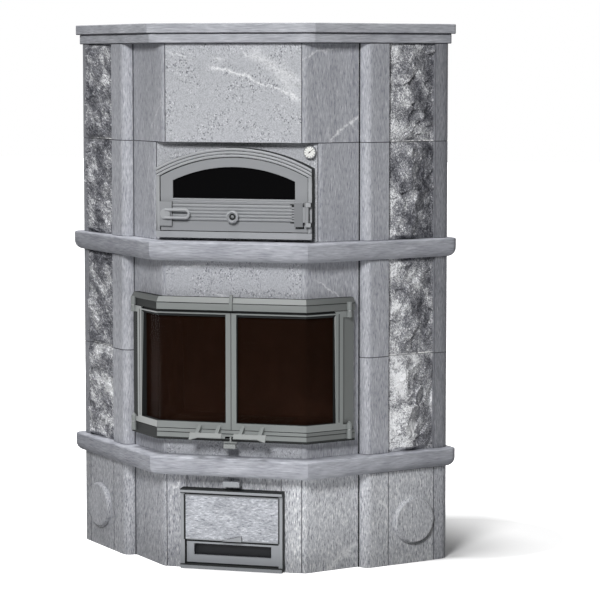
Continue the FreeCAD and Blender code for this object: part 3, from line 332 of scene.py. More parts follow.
# Honed soapstone, sawn with the bedding upright. Its streaks, and its flecks in the base, are under 1 mm wide
# and are drawn 3.5 mm wide so that they show.
upright_streak = (3.5 * mm, 3.5 * mm, 20 * mm)
upright_fleck = (3.5 * mm, 3.5 * mm, 15 * mm)
upright_cloud = (40 * mm, 40 * mm, 200 * mm)


def soapstone_upright(name, lines, shade, foot_painted_light_and_shade):
    """A soft blue-grey talc body with short pale and dark streaks, and flecks in the base, under painted
    light and shade: one for the courses above the base, and one each for the left and the right of the base.
    """
    material, tree, shader = surface(name, "#b2b4ba", {"Roughness": 0.6, "Specular IOR Level": 0.3})
    place = add(tree, "TexCoord", output="Object")
    own = own_place(tree, place)
    across = add(tree, "SeparateXYZ", inputs={0: place}, output="X")
    height = add(tree, "SeparateXYZ", inputs={0: place}, output="Z")
    right = add(tree, "Math", above, {0: across, 1: 0.0})
    foot = add(tree, "Math", below, {0: height, 1: course_levels[0]})
    streak = grain(tree, own, upright_streak, octaves=3, roughness=0.6)
    fleck = grain(tree, own, upright_fleck, octaves=3, roughness=0.65)
    cloud = grain(tree, own, upright_cloud, octaves=3)
    fine = add(tree, "ValToRGB", inputs={0: streak}, stops=((0.3, "#92949c"), (0.46, "#bdbfc5"),
                                                            (0.58, "#c9cbcf"), (0.72, "#ebecef")))
    coarse = add(tree, "ValToRGB", inputs={0: fleck}, stops=((0.32, "#75777f"), (0.45, "#c3c5cb"),
                                                             (0.57, "#d8dadd"), (0.67, "#ffffff")))
    tone = add(tree, "ValToRGB", inputs={0: cloud}, stops=((0.3, "#ebebec"), (0.7, "#ffffff")))
    foot_painted_tint = add(tree, "MixRGB", mix, {0: right, 1: paint(foot_painted_light_and_shade[0]), 2: paint(foot_painted_light_and_shade[1])})
    light_and_shade_tint = add(tree, "MixRGB", mix, {0: foot, 1: paint(shade), 2: foot_painted_tint})
    body = add(tree, "MixRGB", mix, {0: foot, 1: fine, 2: coarse})
    clouded = add(tree, "MixRGB", multiply, {0: 1.0, 1: body, 2: tone})
    colour = add(tree, "MixRGB", multiply, {0: 1.0, 1: clouded, 2: light_and_shade_tint})
    tree.links.new(veins(tree, place, own, colour, lines), shader.inputs["Base Color"])
    return material


# Honed soapstone lying in the shelves and the cap
lying_streak = (40 * mm, 40 * mm, 2.4 * mm)
lying_cloud = (90 * mm, 90 * mm, 40 * mm)


def soapstone_lying(name, shade):
    """The same stone with its streaks level, and matt."""
    material, tree, shader = surface(name, "#b2b4ba", {"Roughness": 0.75, "Specular IOR Level": 0.15})
    place = add(tree, "TexCoord", output="Object")
    streak = grain(tree, place, lying_streak, octaves=3, roughness=0.6)
    cloud = grain(tree, place, lying_cloud, octaves=3)
    body = add(tree, "ValToRGB", inputs={0: streak}, stops=((0.3, "#9c9ea4"), (0.48, "#b8bac0"),
                                                            (0.6, "#c2c4ca"), (0.72, "#d8dade")))
    tone = add(tree, "ValToRGB", inputs={0: cloud}, stops=((0.3, "#e0e0e2"), (0.7, "#ffffff")))
    clouded = add(tree, "MixRGB", multiply, {0: 1.0, 1: body, 2: tone})
    colour = add(tree, "MixRGB", multiply, {0: 1.0, 1: clouded, 2: paint(shade)})
    tree.links.new(colour, shader.inputs["Base Color"])
    return material


# Honed soapstone cut across the bedding. The pits and specks lie in clusters.
veined_grit = (3 * mm, 3 * mm, 4 * mm)
veined_cluster = (80 * mm, 80 * mm, 60 * mm)
veined_pit = (6 * mm, 6 * mm, 8 * mm)
veined_speck = (5 * mm, 5 * mm, 7 * mm)
speck_move = (3.1, 1.7, 5.3)


def soapstone_veined():
    """A pale even face with dark chlorite pits, white carbonate specks and a few broken white veins."""
    material, tree, shader = surface("soapstone_honed_veined", "#b4b6bb",
                                     {"Roughness": 0.55, "Specular IOR Level": 0.3})
    place = add(tree, "TexCoord", output="Object")
    own = own_place(tree, place)
    moved = add(tree, "VectorMath", plus, {0: own, 1: speck_move})
    grit = grain(tree, own, veined_grit, octaves=2, roughness=0.6)
    cluster = grain(tree, own, veined_cluster, octaves=2)
    pit = grain(tree, own, veined_pit, octaves=2, roughness=0.6)
    speck = grain(tree, moved, veined_speck, octaves=2, roughness=0.6)
    colour = add(tree, "ValToRGB", inputs={0: grit}, stops=((0.3, "#9ea0a5"), (0.5, "#b1b3b8"),
                                                            (0.7, "#c2c4c9")))
    crowd = add(tree, "ValToRGB", inputs={0: cluster}, stops=((0.4, "#101010"), (0.58, "#ffffff")))
    pits = add(tree, "ValToRGB", inputs={0: pit}, stops=((0.32, "#ffffff"), (0.47, "#000000")))
    specks = add(tree, "ValToRGB", inputs={0: speck}, stops=((0.55, "#000000"), (0.68, "#ffffff")))
    dark = add(tree, "MixRGB", multiply, {0: 1.0, 1: pits, 2: crowd})
    pale = add(tree, "MixRGB", multiply, {0: 1.0, 1: specks, 2: crowd})
    colour = add(tree, "MixRGB", mix, {0: dark, 1: colour, 2: paint("#65676d")})
    colour = add(tree, "MixRGB", mix, {0: pale, 1: colour, 2: paint("#dfe0e4")})
    # Painted shade: below the upper shelf the veined stone is a little darker.
    height = add(tree, "SeparateXYZ", inputs={0: place}, output="Z")
    lower = add(tree, "Math", below, {0: height, 1: course_levels[2]})
    light_and_shade_tint = add(tree, "MixRGB", mix, {0: lower, 1: paint("#ffffff"), 2: paint("#f4f4f5")})
    colour = add(tree, "MixRGB", multiply, {0: 1.0, 1: colour, 2: light_and_shade_tint})
    tree.links.new(veins(tree, place, own, colour, front_veins), shader.inputs["Base Color"])
    return material


# Split soapstone, broken and not sawn: shares of pale threads in each course. A right-hand panel is also
# paler towards its front, a painted highlight on the facets that turn to the light. The threads are about 1
# mm wide and are drawn at 3 mm so that they show.
pale_shares = {"right": (0.14, 0.09, 0.03, 0.08), "left": (0.09, 0.02, 0.0, 0.01)}
front_painted_light_shares = {"right": 0.07, "left": 0.0}
patch_share = 0.2
patch_range_shares = (0.3, 0.7)
painted_light_fronts = (470 * mm, 580 * mm)
split_lean = (0.5, 0.6, 0.2)
split_patch = (45 * mm, 45 * mm, 75 * mm)
split_thread = (3 * mm, 3 * mm, 10 * mm)
thread_height = 2 * mm


def soapstone_split(name, pale_share, front_light_share):
    """Dark rough talc, matted with pale fibrous crystals in patches."""
    material, tree, shader = surface(name, "#7d7e83", {"Roughness": 0.8, "Specular IOR Level": 0.2})
    place = add(tree, "TexCoord", output="Object")
    own = own_place(tree, place)
    leaning = add(tree, "Mapping", inputs={"Vector": own, "Rotation": split_lean})
    patch = grain(tree, leaning, split_patch, octaves=4, roughness=0.6)
    thread = grain(tree, leaning, split_thread, octaves=3, roughness=0.55)
    patches = add(tree, "MapRange", inputs={"Value": patch, "From Min": patch_range_shares[0],
                                            "From Max": patch_range_shares[1],
                                            "To Min": pale_share - patch_share,
                                            "To Max": pale_share + patch_share})
    across = add(tree, "SeparateXYZ", inputs={0: place}, output="X")
    # Painted light: paler towards the front of the panel.
    front = add(tree, "MapRange", inputs={"Value": across, "From Min": painted_light_fronts[0],
                                          "From Max": painted_light_fronts[1],
                                          "To Min": front_light_share, "To Max": -front_light_share})
    crowd = add(tree, "Math", plus, {0: patches, 1: front})
    matted = add(tree, "Math", plus, {0: thread, 1: crowd})
    colour = add(tree, "ValToRGB", inputs={0: matted}, stops=((0.28, "#3d3e44"), (0.44, "#6d6e74"),
                                                              (0.58, "#97989d"), (0.76, "#eeeff1")))
    bump = add(tree, "Bump", inputs={"Strength": 1.0, "Distance": thread_height, "Height": thread})
    tree.links.new(colour, shader.inputs["Base Color"])
    tree.links.new(bump, shader.inputs["Normal"])
    return material


# Sawn edge of a split panel
arris_break = (14 * mm, 14 * mm, 14 * mm)


def soapstone_arris():
    """Pale stone dust left in the saw marks, in a broken line."""
    material, tree, shader = surface("soapstone_sawn_edge", "#e4e5e7", {"Roughness": 0.8})
    own = own_place(tree, add(tree, "TexCoord", output="Object"))
    broken = grain(tree, own, arris_break, octaves=2)
    colour = add(tree, "ValToRGB", inputs={0: broken}, stops=((0.4, "#9a9ba0"), (0.5, "#ffffff")))
    tree.links.new(colour, shader.inputs["Base Color"])
    return material


def soapstone_dust_and_shade():
    """Dry joint between two stones: sawn bevels dark with dust. Also laid as a soft painted shadow beside the
    left columns.
    """
    return surface("soapstone_sawn_dust_and_shade", "#5c5d62", {"Roughness": 0.9, "Specular IOR Level": 0.1})[0]


def column_shadow_paint():
    """Painted shadow in the corner beside a column: black, matt."""
    return surface("painted_shadow_black", "#1f2022", {"Roughness": 0.95, "Specular IOR Level": 0.1})[0]


# Slab in the ash flap
flake_size = (12 * mm, 12 * mm, 3.5 * mm)
flake_cloud = (70 * mm, 70 * mm, 50 * mm)


def soapstone_flaked():
    """Honed soapstone, pale, with short level flakes."""
    material, tree, shader = surface("soapstone_honed_flaked", "#b4b7be",
                                     {"Roughness": 0.55, "Specular IOR Level": 0.3})
    own = own_place(tree, add(tree, "TexCoord", output="Object"))
    flake = grain(tree, own, flake_size, octaves=3, roughness=0.65)
    cloud = grain(tree, own, flake_cloud, octaves=2)
    body = add(tree, "ValToRGB", inputs={0: flake}, stops=((0.3, "#6e7178"), (0.42, "#aeb1b8"),
                                                           (0.56, "#c1c4cb"), (0.7, "#eff1f5")))
    tone = add(tree, "ValToRGB", inputs={0: cloud}, stops=((0.3, "#dededf"), (0.7, "#ffffff")))
    colour = add(tree, "MixRGB", multiply, {0: 1.0, 1: body, 2: tone})
    tree.links.new(colour, shader.inputs["Base Color"])
    return material


# Walls at the rear, with saw marks about 1 mm high, drawn at 3.5 mm so that they show
saw_mark = (300 * mm, 300 * mm, 3.5 * mm)


def soapstone_sawn():
    """Soapstone left as sawn: flat grey with the level marks of the saw."""
    material, tree, shader = surface("soapstone_sawn", "#94969b",
                                     {"Roughness": 0.8, "Specular IOR Level": 0.3})
    own = own_place(tree, add(tree, "TexCoord", output="Object"))
    mark = grain(tree, own, saw_mark, octaves=2)
    colour = add(tree, "ValToRGB", inputs={0: mark}, stops=((0.3, "#8a8c91"), (0.7, "#a4a6ac")))
    tree.links.new(colour, shader.inputs["Base Color"])
    return material


# Core of the heater
soot_cloud = (140 * mm, 140 * mm, 180 * mm)


def refractory_cast():
    """Cast refractory concrete, browned and sooted by use: matt, in soft clouds."""
    material, tree, shader = surface("refractory_cast_sooted", "#4a3a30",
                                     {"Roughness": 0.95, "Specular IOR Level": 0.1})
    soot = grain(tree, add(tree, "TexCoord", output="Object"), soot_cloud, octaves=3)
    colour = add(tree, "ValToRGB", inputs={0: soot}, stops=((0.3, "#33201a"), (0.5, "#543428"),
                                                            (0.7, "#74503f")))
    tree.links.new(colour, shader.inputs["Base Color"])
    return material


# Painted and bare metals. The sand's grain on cast iron is finer than a millimetre and is drawn at 3 mm.
sand_grain = (3 * mm, 3 * mm, 3 * mm)
sand_height = 0.15 * mm


def painted_steel(name, colour):
    """Heat-proof silicone paint, sprayed on sheet steel: satin grey with soft highlights."""
    return surface(name, colour, {"Roughness": 0.42, "Specular IOR Level": 0.35})[0]


def painted_iron(name, colour):
    """Heat-proof paint on sand-cast iron: lighter grey, a little grainy."""
    material, tree, shader = surface(name, colour, {"Roughness": 0.45, "Specular IOR Level": 0.35})
    sand = grain(tree, add(tree, "TexCoord", output="Object"), sand_grain, octaves=2)
    bump = add(tree, "Bump", inputs={"Strength": 1.0, "Distance": sand_height, "Height": sand})
    tree.links.new(bump, shader.inputs["Normal"])
    return material


def painted_shade_steel():
    """Painted shade on the edges, gaps and grooves of painted steel: near black, matt."""
    return surface("steel_painted_shade_black", "#1e2020", {"Roughness": 0.6, "Specular IOR Level": 0.15})[0]


def cast_iron():
    """Bare sand-cast iron, scaled by heat: near black, rough."""
    return surface("iron_cast_bare", "#2b2927", {"Roughness": 0.65, "Metallic": 0.5})[0]


def turned_steel():
    """Turned mild steel: bright, narrow highlights."""
    return surface("steel_turned", "#b9babb", {"Roughness": 0.3, "Metallic": 1.0})[0]


def tray_steel():
    """Bare sheet steel, blackened by ash and heat, and black enough to stand for the shade inside the ash
    slot: partly painted shade.
    """
    return surface("steel_sheet_blackened", "#1d1e21", {"Roughness": 0.6, "Specular IOR Level": 0.2})[0]


def flue_steel():
    """Rolled sheet steel with mill scale: dark blue-grey."""
    return surface("steel_rolled", "#4c4f53", {"Roughness": 0.45, "Metallic": 0.8})[0]


# Glass, seals and the dial
rope_braid = (3 * mm, 3 * mm, 3 * mm)
braid_height = 0.5 * mm


def fire_glass():
    """Clear ceramic glass, rolled and polished, browned by smoke: the firebox shows dimly through it."""
    return surface("ceramic_glass_smoked", "#25160f",
                   {"Roughness": 0.06, "Alpha": 0.5, "IOR": 1.54, "Specular IOR Level": 0.01})[0]


def oven_glass():
    """Black printed float glass: opaque, deep black, with faint sharp reflections."""
    return surface("float_glass_black", "#0a0a0b",
                   {"Roughness": 0.08, "IOR": 1.52, "Specular IOR Level": 0.01})[0]


def seal_rope():
    """Braided glass-fibre rope: off-white, matt."""
    material, tree, shader = surface("glass_fibre_rope", "#b7b2a6", {"Roughness": 0.95})
    braid = grain(tree, add(tree, "TexCoord", output="Object"), rope_braid, octaves=1)
    bump = add(tree, "Bump", inputs={"Strength": 1.0, "Distance": braid_height, "Height": braid})
    tree.links.new(bump, shader.inputs["Normal"])
    return material


def dial_enamel():
    """White stove enamel on the dial plate, with printed ticks round the rim: smooth and glossy."""
    material, tree, shader = surface("enamel_white", "#f2f2ef", {"Roughness": 0.25})
    place = add(tree, "TexCoord", output="Object")
    spoke = add(tree, "VectorMath", minus, {0: place, 1: dial_middle})
    across = add(tree, "SeparateXYZ", inputs={0: spoke}, output="X")
    height = add(tree, "SeparateXYZ", inputs={0: spoke}, output="Z")
    turn = add(tree, "Math", {"operation": "ARCTAN2"}, {0: height, 1: across})
    wave = add(tree, "Math", times, {0: turn, 1: dial_ticks})
    tick = add(tree, "Math", {"operation": "SINE"}, {0: wave})
    reach = add(tree, "VectorMath", {"operation": "LENGTH"}, {0: spoke}, output="Value")
    rim = add(tree, "Math", above, {0: reach, 1: tick_start})
    dark = add(tree, "Math", times, {0: tick, 1: rim})
    colour = add(tree, "ValToRGB", inputs={0: dark}, stops=((0.75, "#f2f2ef"), (0.95, "#4a4a4c")))
    tree.links.new(colour, shader.inputs["Base Color"])
    return material


def needle_lacquer():
    """Black lacquered brass."""
    return surface("lacquer_black", "#141415", {"Roughness": 0.35})[0]


# Painted light and shade: the upright stone is darker above the base as painted shade on the sides. In the
# base it is darker at the left as painted shade and lighter at the right as painted light.
upright = soapstone_upright("soapstone_honed_upright", angled_veins, "#e4e4e6", ("#dddddf", "#ffffff"))
# Painted highlight: a paler copy of the upright stone for the noses of the columns.
nose_highlight_stone = soapstone_upright("soapstone_honed_nose_highlight", (), "#f2f2f4", ("#e6e6e8", "#fafafb"))
# Painted shade: a darker copy of the upright stone for the end stones.
end_shade_stone = soapstone_upright("soapstone_honed_end_shade", (), "#b6b6b8", ("#cececf", "#e6e6e8"))
shelf_stone = soapstone_lying("soapstone_honed_lying", "#f6f6f8")
# Painted shade: a darker copy of the lying stone for the shelves' left faces.
shelf_left_shade_stone = soapstone_lying("soapstone_honed_lying_left_shade", "#e4e4e6")
cap_stone = soapstone_lying("soapstone_honed_lying_pale", "#ffffff")
veined = soapstone_veined()
split = {}
for word in ("right", "left"):
    for course, share in enumerate(pale_shares[word]):
        name = f"soapstone_split_{word}_{course + 1}"
        split[word, course] = soapstone_split(name, share, front_painted_light_shares[word])
flaked = soapstone_flaked()
sawn = soapstone_sawn()
arris = soapstone_arris()
joint_dust_and_shade = soapstone_dust_and_shade()
column_shadow_black = column_shadow_paint()
sooted = refractory_cast()
grate_iron = cast_iron()
fire_steel = painted_steel("steel_painted_green_grey", "#7c807f")
# Painted shade: a darker copy of the fire door's paint for the frame's wings.
wing_shade_steel = painted_steel("steel_painted_wing_shade", "#5e6160")
shade_black_steel = painted_shade_steel()
# Painted highlight: a paler copy of the door paint for the handles' blades and the air slider.
handle_highlight_steel = painted_steel("steel_painted_handle_highlight", "#888b8a")
# Painted highlight: a paler copy of the fire door's paint for the upper chamfers and the left leaf's wing.
chamfer_highlight_steel = painted_steel("steel_painted_chamfer_highlight", "#a3a6a5")
ash_steel = painted_steel("steel_painted_grey", "#94979b")
# Painted light: a paler copy of the ash door's paint for the drawer front.
drawer_lit_steel = painted_steel("steel_painted_drawer_lit", "#9b9ea3")
oven_iron = painted_iron("iron_cast_painted", "#8f9194")
# Painted highlight: a paler copy of the oven paint for the arch, the frame, the latch handle and the knob.
arch_highlight_iron = painted_iron("iron_cast_painted_highlight", "#9ea0a3")
cover_iron = painted_iron("iron_cast_painted_dark", "#77797c")

finishes = (
    (upright, ("base_front_stones", "base_angled_stones", "disc_panels", "soot_plug_left", "soot_plug_right",
               "column_stones", "upper_angled_stones", "oven_angled_stones", "fire_surround_stones")),
    (end_shade_stone, ("end_stones",)),
    (shelf_stone, ("lower_shelf", "upper_shelf")),
    (cap_stone, ("cap_lower", "cap_upper")),
    (veined, ("upper_front_stone", "fire_lintel_stone", "fire_sill_stone", "oven_niche_stone")),
    (split["left", 0], ("split_face_panels",)),
    (flaked, ("ash_flap_stone",)),
    (sawn, ("rear_walls", "back_wall", "base_slab")),
    (sooted, ("firebox_sides", "core_back", "firebox_throat", "oven_floor", "oven_walls", "oven_vault",
              "hearth_floor", "ash_pit_walls")),
    (grate_iron, ("grate",)),
    (fire_steel, ("fire_door_frame", "fire_door_left", "fire_door_right", "fire_top_catch")),
    (handle_highlight_steel, ("fire_handle_left", "fire_handle_right", "fire_air_slider")),
    (ash_steel, ("ash_frame", "ash_flap", "ash_air_slider")),
    (drawer_lit_steel, ("ash_drawer",)),
    (oven_iron, ("oven_door", "thermometer_case")),
    (arch_highlight_iron, ("oven_arch", "oven_frame", "oven_latch_handle", "oven_knob")),
    (turned_steel(), ("fire_hinge_pins", "oven_hinge_pin")),
    (flue_steel(), ("flue_collar",)),
    (fire_glass(), ("fire_glass_left", "fire_glass_right")),
    (oven_glass(), ("oven_glass",)),
    (seal_rope(), ("fire_seal_left", "fire_seal_right", "oven_seal")),
    (dial_enamel(), ("thermometer_dial",)),
    (needle_lacquer(), ("thermometer_needle",)),
)
for material, names in finishes:
    for name in names:
        nodes[name].data.materials.clear()
        nodes[name].data.materials.append(material)


# Faces that look unlike the rest of their piece
def out_of_stone(place):
    """How far a point stands before the front face, or before a 45 degree side if it is beside the front."""
    before_side = (Vector((abs(place.x), place.y, 0)) - side_start).dot(side_out)
    return max(side_start.y - place.y, before_side)


def corners(face):
    return [face.id_data.vertices[index].co for index in face.vertices]


def tray_blackening_and_shade(face):
    """The drawer's tray behind its painted front is blackened bare steel, partly painted shade for the dark
    slot.
    """
    return face.center.y > drawer_front_back


def shaded_edge(face):
    """The edges of the doors' metal, which face sideways, are painted near black as shade, so the gaps draw
    dark lines.
    """
    return abs(face.normal.y) < sideways_turn


def knob_hollow_shade(face):
    """The ring round the hub of the oven knob is painted dark: painted shade in its hollow."""
    return knob_hollow[0] < (face.center - knob_middle).xz.length < knob_hollow[1]


def handle_post(face):
    """The posts behind the handle blades keep the door's own paint, darker than the blades' painted
    highlight.
    """
    return face.center.z > post_level


def firebox_lining(face):
    """The stones are sooty where they line the firebox."""
    return out_of_stone(face.center) < sooted_depth


def level_joint(face):
    """A dry joint between two courses: the bevel along the edge of a stone."""
    off = min(abs(face.center.z - level) for level in joint_levels)
    return bevel_turns[0] < abs(face.normal.z) < bevel_turns[1] and off < joint_rise


def dry_joint(face):
    """A dry joint between two courses, or beside a stone."""
    spots = corners(face)
    wide = max((first - second).xy.length for first in spots for second in spots)
    return level_joint(face) or (abs(face.normal.z) < bevel_turns[0] and wide < joint_width)


def column_nose_highlight(face):
    """The rounded nose along the front of each column is paler: a painted highlight where it turns to the
    light.
    """
    outward = math.copysign(face.normal.x, face.normal.x * face.center.x)
    turn = Vector((outward, face.normal.y, 0))
    return turn.dot(side_along) < -nose_turn and face.material_index == 0


def shelf_left_shade(face):
    """The left faces of the shelves are a darker copy of the stone: painted shade."""
    return face.normal.x < -nose_turn


repaints = (
    (tray_blackening_and_shade, tray_steel(), ("ash_drawer",)),
    (shaded_edge, shade_black_steel, ("ash_frame", "ash_flap", "oven_arch", "oven_frame", "oven_door",
                              "fire_top_catch")),
    (knob_hollow_shade, shade_black_steel, ("oven_knob",)),
    (handle_post, fire_steel, ("fire_handle_left", "fire_handle_right")),
    (firebox_lining, sooted, ("fire_surround_stones", "fire_lintel_stone", "fire_sill_stone")),
    (dry_joint, joint_dust_and_shade, ("column_stones", "end_stones", "disc_panels", "base_front_stones",
                        "base_angled_stones", "upper_angled_stones", "upper_front_stone",
                        "oven_angled_stones", "oven_niche_stone")),
    (level_joint, joint_dust_and_shade, ("cap_lower", "cap_upper")),
    (column_nose_highlight, nose_highlight_stone, ("column_stones",)),
    (shelf_left_shade, shelf_left_shade_stone, ("lower_shelf", "upper_shelf")),
)
for chosen, material, names in repaints:
    for name in names:
        mesh = nodes[name].data
        mesh.materials.append(material)
        for face in mesh.polygons:
            if chosen(face):
                face.material_index = len(mesh.materials) - 1


def fire_door_shades(name, is_frame):
    """Painted light and shade on the door's paint. The fronts are pale, and its upper chamfers and the wing
    of the left leaf are palest, as painted highlights. The left wing of the frame, sunk faces and edges are
    dark, as painted shade, and the frame's right wing and left chamfer lie between."""
    mesh = nodes[name].data
    for steel in (shade_black_steel, wing_shade_steel, chamfer_highlight_steel):
        mesh.materials.append(steel)
    pale, dark, middle, palest = range(4)
    for face in mesh.polygons:
        barrel = max((Vector((abs(spot.x), spot.y)) - hinge_axis).length for spot in corners(face))
        chamfer = face.normal.z > bevel_turns[0]
        sunk = not chamfer and out_of_stone(face.center) < sunk_face
        left_wing = face.normal.x < -sideways_turn
        right_wing = face.normal.x > sideways_turn
        if barrel < hinge_reach:
            shade = pale
        elif is_frame and left_wing and chamfer:
            shade = middle
        elif shaded_edge(face) or (is_frame and left_wing):
            shade = dark
        elif is_frame and right_wing:
            shade = middle
        elif sunk:
            shade = dark
        elif chamfer or left_wing:
            shade = palest
        else:
            shade = pale
        face.material_index = shade


fire_door_shades("fire_door_frame", True)
fire_door_shades("fire_door_left", False)
fire_door_shades("fire_door_right", False)

# Rolled and cast edges are a little round, so that they catch the light
for name, width in soft_edges:
    piece = nodes[name]
    weld = piece.modifiers.new("weld", "WELD")
    weld.merge_threshold = weld_reach
    bevel = piece.modifiers.new("soft_edge", "BEVEL")
    bevel.width = width
    bevel.segments = edge_segments
    bevel.limit_method = "ANGLE"
    bevel.angle_limit = edge_angle
    piece.modifiers.new("even_shading", "WEIGHTED_NORMAL")


def link(name, data):
    holder = bpy.data.objects.new(name, data)
    bpy.context.scene.collection.objects.link(holder)
    return holder


# Split-face panels, for which the solids only hold the place
def side_point(side, along, out, level):
    """A point on the right or left 45 degree side."""
    point = side_start + side_along * along + side_out * out
    return Vector((side * point.x, point.y, level))


def split_height(along, level, edge, ridge, crest_share, seed):
    """How far the broken face stands out: a crooked ridge, leaning facets and chips, none at a sawn edge."""
    start, end = panel_runs
    spot = Vector((along, level, seed))
    fade = min(1.0, edge / panel_margin, (end - along) / rear_margin)
    swing = ridge_swing * noise.noise(Vector((seed, level, seed)) / ridge_lump)
    crest = start + crest_share * (end - start) + swing
    fall = (crest - along) / (crest - start) if along < crest else (along - crest) / (end - crest)
    centre = noise.voronoi(spot / split_facet)[1][0]
    lean = noise.noise_vector(centre)
    facet = facet_lean * (spot - centre * split_facet).dot(lean)
    flake = noise.turbulence(spot / split_flake, flake_octaves, True) - flake_middle_share
    return fade * (ridge * (1 - fall) + facet + split_chip * flake)


def split_panel(side, word, course, low, high):
    """One split-face panel: a fine grid broken outwards between its sawn edges, closed behind."""
    name = f"split_panel_{word}_{course + 1}"
    seed = course_seed * course + side_seed * side
    ridge = split_ridges[word][course]
    start, end = panel_runs
    low, high = low + panel_joint, high - panel_joint
    columns = round((end - start) / panel_grid)
    rows = round((high - low) / panel_grid)
    points, faces = [], []
    for row in range(rows + 1):
        level = low + (high - low) * row / rows
        for column in range(columns + 1):
            along = start + (end - start) * column / columns
            edge = min(along - start, level - low, high - level)
            out = panel_face + split_height(along, level, edge, ridge, crest_shares[word], seed)
            points.append(side_point(side, along, out, level))
    wide = columns + 1
    for row in range(rows):
        for column in range(columns):
            first = row * wide + column
            faces.append((first, first + 1, first + 1 + wide, first + wide))
    rim = list(range(wide)) + [row * wide + columns for row in range(1, rows + 1)]
    rim += [rows * wide + column for column in range(columns - 1, -1, -1)]
    rim += [row * wide for row in range(rows - 1, 0, -1)]
    behind = len(points)
    for index in rim:
        point = points[index]
        out = (Vector((abs(point.x), point.y, 0)) - side_start).dot(side_out)
        moved = side_out * (panel_back - out)
        points.append(Vector((point.x + side * moved.x, point.y + moved.y, point.z)))
    count = len(rim)
    for place in range(count):
        after = (place + 1) % count
        faces.append((rim[after], rim[place], behind + place, behind + after))
    faces.append(tuple(behind + place for place in reversed(range(count))))
    if side < 0:
        faces = [tuple(reversed(face)) for face in faces]
    mesh = bpy.data.meshes.new(name)
    mesh.from_pydata(points, [], faces)
    mesh.update()
    panel = link(name, mesh)
    panel.data.materials.append(split[word, course])
    panel.data.materials.append(arris)
    for face in mesh.polygons:
        if any(0 < face.center.z - level < panel_arris for level in (fire_joint, oven_joint)):
            face.material_index = 1
    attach(panel, "body")
    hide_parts("split_face_panels")


# The leans of the facets come from a drawn state, which is seeded so that every run gives the same panels
noise.seed_set(facet_seed)
for side, word in ((1, "right"), (-1, "left")):
    for course, (low, high) in enumerate(panel_courses):
        split_panel(side, word, course, low, high)


# Thin strips on the doors and stones
def inlay(name, body, stations, low, high, material, slot):
    """A thin strip on the face of a door or stone: stations are its (back, front) points in plan."""
    points, faces = [], []
    for back, front in stations:
        points += [Vector((back.x, back.y, low)), Vector((front.x, front.y, low)),
                   Vector((front.x, front.y, high)), Vector((back.x, back.y, high))]
    ring = 4
    last = len(points) - ring
    for first in range(0, last, ring):
        for corner in range(ring):
            after = (corner + 1) % ring
            faces.append((first + corner, first + after, first + ring + after, first + ring + corner))
    faces += [tuple(reversed(range(ring))), tuple(range(last, last + ring))]
    mesh = bpy.data.meshes.new(name)
    mesh.from_pydata(points, [], faces)
    mesh.materials.append(material)
    strip = link(name, mesh)
    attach(strip, body)


def straight(low, high):
    """Stations of a strip on a front face."""
    return [(Vector((x, high.y, 0)), Vector((x, low.y, 0))) for x in (low.x, high.x)]


def along_side(side, runs, outs):
    """Stations of a strip on a 45 degree side, from left to right."""
    stations = [[side_point(side, along, out, 0) for out in outs] for along in runs]
    return stations if side > 0 else stations[::-1]


def round_the_bay():
    """Stations of a groove round the frame of the fire door, from left to right."""
    corner_lean = math.tan(side_turn / 2)
    stations = []
    for side in (-1, 1):
        end, bend = [], []
        for out in groove_outs:
            end.append(side_point(side, frame_run, out, 0))
            bend.append(Vector((side * (side_start.x + out * corner_lean), side_start.y - out, 0)))
        stations += [end, bend] if side < 0 else [bend, end]
    return stations


def inlays():
    # Painted shade in the grooves of the frame and of the leaves' stiles.
    for number, (low, high) in enumerate(frame_grooves):
        inlay(f"fire_frame_groove_{number + 1}", "body", round_the_bay(), low, high, shade_black_steel, "door_steel")
    # Painted shadow beside the columns: black at the right, the softer joint colour at the left.
    for side, word, fill in ((-1, "left", joint_dust_and_shade), (1, "right", column_shadow_black)):
        stations = along_side(side, stile_groove_run, groove_outs)
        inlay(f"fire_stile_groove_{word}", "fire_leaf_" + word, stations, *stile_groove_levels,
              shade_black_steel, "door_steel")
        stations = along_side(side, column_shadow_run, column_shadow_outs)
        for number, (low, high) in enumerate(column_shadow_levels):
            inlay(f"column_filler_{word}_{number + 1}", "body", stations, low, high, fill, "soapstone")
    # Painted shadow lines in the gaps of the doors.
    for number, (body, low, high) in enumerate(door_shadow_lines):
        low, high = Vector(low) * mm, Vector(high) * mm
        inlay(f"door_line_{number + 1}", body, straight(low, high), low.z, high.z, shade_black_steel, "door_steel")
    low, high = hinge_cover
    inlay("oven_hinge_cover", "oven_leaf", straight(low, high), low.z, high.z, cover_iron, "oven_iron")


inlays()


# Stage
def area_lamp(name, place, aim, size, power):
    lamp = bpy.data.lights.new(name, "AREA")
    lamp.shape = "RECTANGLE"
    lamp.size, lamp.size_y = size
    lamp.energy = power
    holder = link(name, lamp)
    holder.location = place
    holder.rotation_euler = (aim - place).to_track_quat("-Z", "Y").to_euler()
    holder.visible_camera = False


def lamps():
    area_lamp("softbox", softbox_place, softbox_aim, softbox_size, softbox_power)
    area_lamp("floor_bounce", bounce_place, bounce_aim, bounce_size, bounce_power)
    area_lamp("rear_fill", rear_place, rear_aim, rear_size, rear_power)
    top = bpy.data.lights.new("top_lamp", "SUN")
    top.energy = top_strength
    top.angle = math.radians(top_softness)
    holder = link("top_lamp", top)
    holder.rotation_euler = (math.radians(quarter_turn - top_height), 0, math.radians(top_turn))


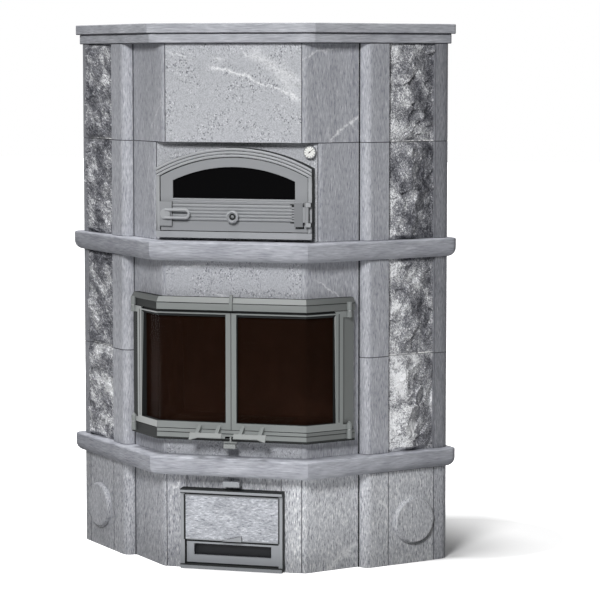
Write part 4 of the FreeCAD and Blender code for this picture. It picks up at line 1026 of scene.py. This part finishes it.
def seen_share(tree):
    """One for what the camera, a reflection or a view through glass shows, zero for light on the object."""
    seen = 0.0
    for ray in ("Is Camera Ray", "Is Glossy Ray", "Is Transmission Ray"):
        seen = add(tree, "Math", larger, {0: seen, 1: add(tree, "LightPath", output=ray)})
    return seen


def studio():
    """A white surrounding that gives the object only a little even light."""
    world = bpy.data.worlds.new("white_studio")
    bpy.context.scene.world = world
    world.use_nodes = True
    tree = world.node_tree
    sky = tree.nodes["Background"]
    sky.inputs["Color"].default_value = paint("#ffffff")
    strength = add(tree, "MapRange", inputs={"Value": seen_share(tree), "To Min": ambient, "To Max": 1.0})
    tree.links.new(strength, sky.inputs["Strength"])


def floor():
    spots = [(-floor_half, -floor_half, 0), (floor_half, -floor_half, 0), (floor_half, floor_half, 0),
             (-floor_half, floor_half, 0)]
    mesh = bpy.data.meshes.new("floor")
    mesh.from_pydata(spots, [], [(0, 1, 2, 3)])
    ground = link("floor", mesh)
    material, tree, shader = surface("floor_white", "#f5f5f5", {"Roughness": 1.0, "Specular IOR Level": 0.0,
                                                                "Emission Color": paint("#ffffff")})
    place = add(tree, "TexCoord", output="Object")
    far = add(tree, "VectorMath", {"operation": "DISTANCE"}, {0: place, 1: shade_middle}, output="Value")
    white = add(tree, "MapRange", inputs={"Value": far, "From Min": glow_near, "From Max": glow_far,
                                          "To Min": floor_glow, "To Max": 1.0})
    glow = add(tree, "Math", times, {0: seen_share(tree), 1: white})
    tree.links.new(glow, shader.inputs["Emission Strength"])
    mesh.materials.append(material)
    ground.visible_diffuse = False


def camera():
    lens = bpy.data.cameras.new("camera")
    lens.sensor_width = camera_sensor
    lens.lens = camera_lens
    lens.shift_x, lens.shift_y = camera_shift
    lens.clip_end = camera_reach
    view = link("camera", lens)
    view.location = camera_place
    view.rotation_euler = (math.radians(quarter_turn - camera_dip), 0, math.radians(camera_yaw))
    bpy.context.scene.camera = view


studio()
lamps()
floor()
camera()
bpy.context.scene.view_settings.view_transform = "Standard"
